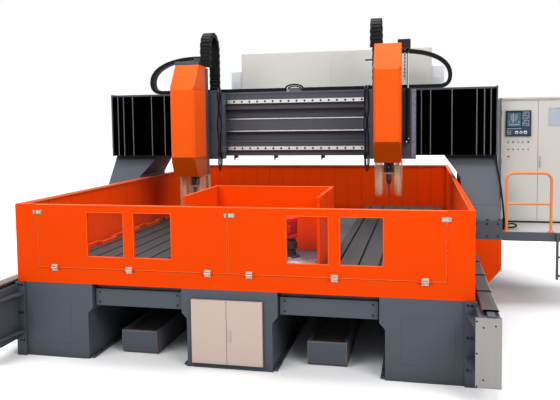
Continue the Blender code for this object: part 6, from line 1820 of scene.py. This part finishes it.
PUMP_X, PUMP_Y, PUMP_FLOOR = 0.31, behind(1.9), 0.896
OUTLET_Z = PUMP_FLOOR + 0.16
MOTOR = (
    (0.10, 0.26), (0.125, 0.27), (0.125, 0.30), (0.108, 0.31), (0.108, 0.475), (0.122, 0.485), (0.122, 0.50),
    (0.118, 0.535), (0.07, 0.545),
)
HOUSING = (
    (0.14, 0.001), (0.14, 0.02), (0.10, 0.03), (0.085, 0.10), (0.115, 0.12), (0.115, 0.2), (0.09, 0.215),
    (0.09, 0.262),
)
pump = Piece("coolant_pump_motor")
pump.turned(MOTOR, (PUMP_X, PUMP_Y, PUMP_FLOOR), sides=32)
for step in range(26):
    place = Vector((PUMP_X, PUMP_Y, 0)) + round_vector(2 * math.pi * step / 26) * 0.113
    pump.rod((*place.xy, PUMP_FLOOR + 0.315), (*place.xy, PUMP_FLOOR + 0.47), 0.004, sides=6)
pump.box(
    (PUMP_X - 0.06, PUMP_Y - 0.165, PUMP_FLOOR + 0.35), (PUMP_X + 0.05, PUMP_Y - 0.105, PUMP_FLOOR + 0.44),
)
pump.done(RED, "base", 0.004)
volute = Piece("coolant_pump_housing")
volute.turned(HOUSING, (PUMP_X, PUMP_Y, PUMP_FLOOR), sides=32)
volute.rod((PUMP_X, PUMP_Y, OUTLET_Z), (PUMP_X - 0.2, PUMP_Y, OUTLET_Z), 0.035)
volute.rod((PUMP_X - 0.19, PUMP_Y, OUTLET_Z), (PUMP_X - 0.215, PUMP_Y, OUTLET_Z), 0.055)
for step in range(8):
    place = Vector((PUMP_X, PUMP_Y, PUMP_FLOOR + 0.022)) + round_vector(math.pi / 4 * step + 0.2) * 0.122
    volute.bolt(place, UP, 0.009, 0.009)
volute.done(IRON, "base", 0.003)
hose = [
    (PUMP_X - 0.213, PUMP_Y, OUTLET_Z), (PUMP_X - 0.3, PUMP_Y, PUMP_FLOOR + 0.15),
    (PUMP_X - 0.40, PUMP_Y + 0.08, PUMP_FLOOR + 0.06), (PUMP_X - 0.48, PUMP_Y + 0.25, PUMP_FLOOR + 0.035),
    (PUMP_X - 0.5, FENCE_BACK - 0.04, PUMP_FLOOR + 0.034),
]
pipe("coolant_pump_hose", hose, 0.03, BLACK, "base")

HEAP_X, HEAP_Y = 0.40, behind(1.42)
chooser = random.Random(11)
chips = Piece("chip_heap")
for _ in range(420):
    reach = chooser.gauss(0, 0.22)
    along = chooser.gauss(0, 0.16)
    x, y = HEAP_X + reach, HEAP_Y + along
    if abs(x) > 0.78 or y > FENCE_BACK - 0.1:
        continue
    heap = 0.07 * math.exp(-(reach / 0.26) ** 2 - (along / 0.2) ** 2)
    z = PUMP_FLOOR + 0.003 + heap * chooser.random()
    turn = chooser.uniform(0, 2 * math.pi)
    radius, width = chooser.uniform(0.006, 0.014), chooser.uniform(0.003, 0.007)
    sweep = chooser.uniform(1.5, 4.5)
    axis = Vector((math.cos(turn), math.sin(turn), chooser.uniform(-0.4, 0.4))).normalized()
    side_way = axis.orthogonal().normalized()
    other = axis.cross(side_way)
    rings = []
    for step in range(6):
        angle = sweep * step / 5
        point = Vector((x, y, z + radius)) + (side_way * math.cos(angle) + other * math.sin(angle)) * radius
        point += axis * step * 0.002
        rings.append([chips.shape.verts.new(point + axis * width / 2 * hand) for hand in (-1, 1)])
    for first, second in zip(rings, rings[1:]):
        chips.shape.faces.new((first[0], first[1], second[1], second[0]))
chips.done(CHIPS, "base", 0)

HEAP_SIDES, HEAP_LEVELS = 28, 6
heap_body = Piece("chip_heap_body")
rings = []
for level in range(HEAP_LEVELS):
    share = level / HEAP_LEVELS
    z = PUMP_FLOOR + 0.0005 + 0.06 * math.sin(share * math.pi / 2)
    ring = []
    for step in range(HEAP_SIDES):
        angle = 2 * math.pi * step / HEAP_SIDES
        wobble = 1 + 0.12 * math.sin(3 * angle + 1) + 0.07 * math.sin(7 * angle)
        x = HEAP_X + 0.34 * (1 - share) * wobble * math.cos(angle)
        y = HEAP_Y + 0.24 * (1 - share) * wobble * math.sin(angle)
        ring.append(heap_body.shape.verts.new((x, y, z)))
    rings.append(ring)
for lower, upper in zip(rings, rings[1:]):
    for step in range(HEAP_SIDES):
        after = (step + 1) % HEAP_SIDES
        heap_body.shape.faces.new((lower[step], lower[after], upper[after], upper[step]))
heap_body.shape.faces.new(rings[-1])
heap_body.shape.faces.new(rings[0][::-1])
heap_body.done(CHIPS, "base", 0)


# Base: seams down the blocks' sides, foot plates along their fronts

for side, _ in SIDES:
    low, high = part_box(f"{side}_base_block")
    seams = Piece(f"{side}_block_seams")
    for y in (behind(2.36), behind(4.73)):
        for x in (low.x, high.x):
            seams.box((x - 0.0008, y - 0.003, 0.03), (x + 0.0008, y + 0.003, 0.86))
    seams.done(SCREW_BLACK, "base", 0)
for name, start, end in (("left", -2.34, -1.90), ("middle", -0.50, 0.50), ("right", 1.90, 2.34)):
    plate = (start, behind(-0.004), 0.0005), (end, behind(0.001), 0.018)
    boxes(f"{name}_block_foot_edge", GREY, "base", 0.001, plate)

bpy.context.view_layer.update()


# Floor: it shows pale, glows white further out, and lights the object as a mid-grey floor would

FLOOR_HALF = 60.0
GLOW_START, GLOW_FULL, GLOW_STRENGTH = 3.6, 7.5, 0.8
FLOOR_GREY = (0.4, 0.4, 0.4, 1.0)


def pale_floor():
    """A white studio floor that glows a little further out, so that it ends in the white background."""
    made = finish("pale_floor", (0.93, 0.93, 0.93), 0.8, mottling=0.01, grain=20, relief=0.0, grime_and_shade=0)
    wiring = Wiring(made)
    shader = wiring.shader.inputs
    reach = wiring.add("VectorMath", operation="LENGTH", Vector=wiring.place()).outputs["Value"]
    glow = wiring.spread(reach, From_Min=GLOW_START, From_Max=GLOW_FULL, To_Min=0.0, To_Max=GLOW_STRENGTH)
    direct = wiring.seen_directly()
    paint = shader["Base Color"].links[0].from_socket
    wiring.feed(shader["Emission Color"], (1.0, 1.0, 1.0, 1.0))
    wiring.feed(shader["Emission Strength"], wiring.math("MULTIPLY", glow, direct))
    wiring.feed(shader["Base Color"], wiring.mix(direct, FLOOR_GREY, paint))
    return made


floor_mesh = bpy.data.meshes.new("studio_floor")
floor_shape = bmesh.new()
bmesh.ops.create_grid(floor_shape, x_segments=1, y_segments=1, size=FLOOR_HALF)
floor_shape.to_mesh(floor_mesh)
floor_shape.free()
floor_object = add_to_scene("studio_floor", floor_mesh)
floor_object.location.z = FLOOR_Z - 0.001
floor_mesh.materials.append(pale_floor())
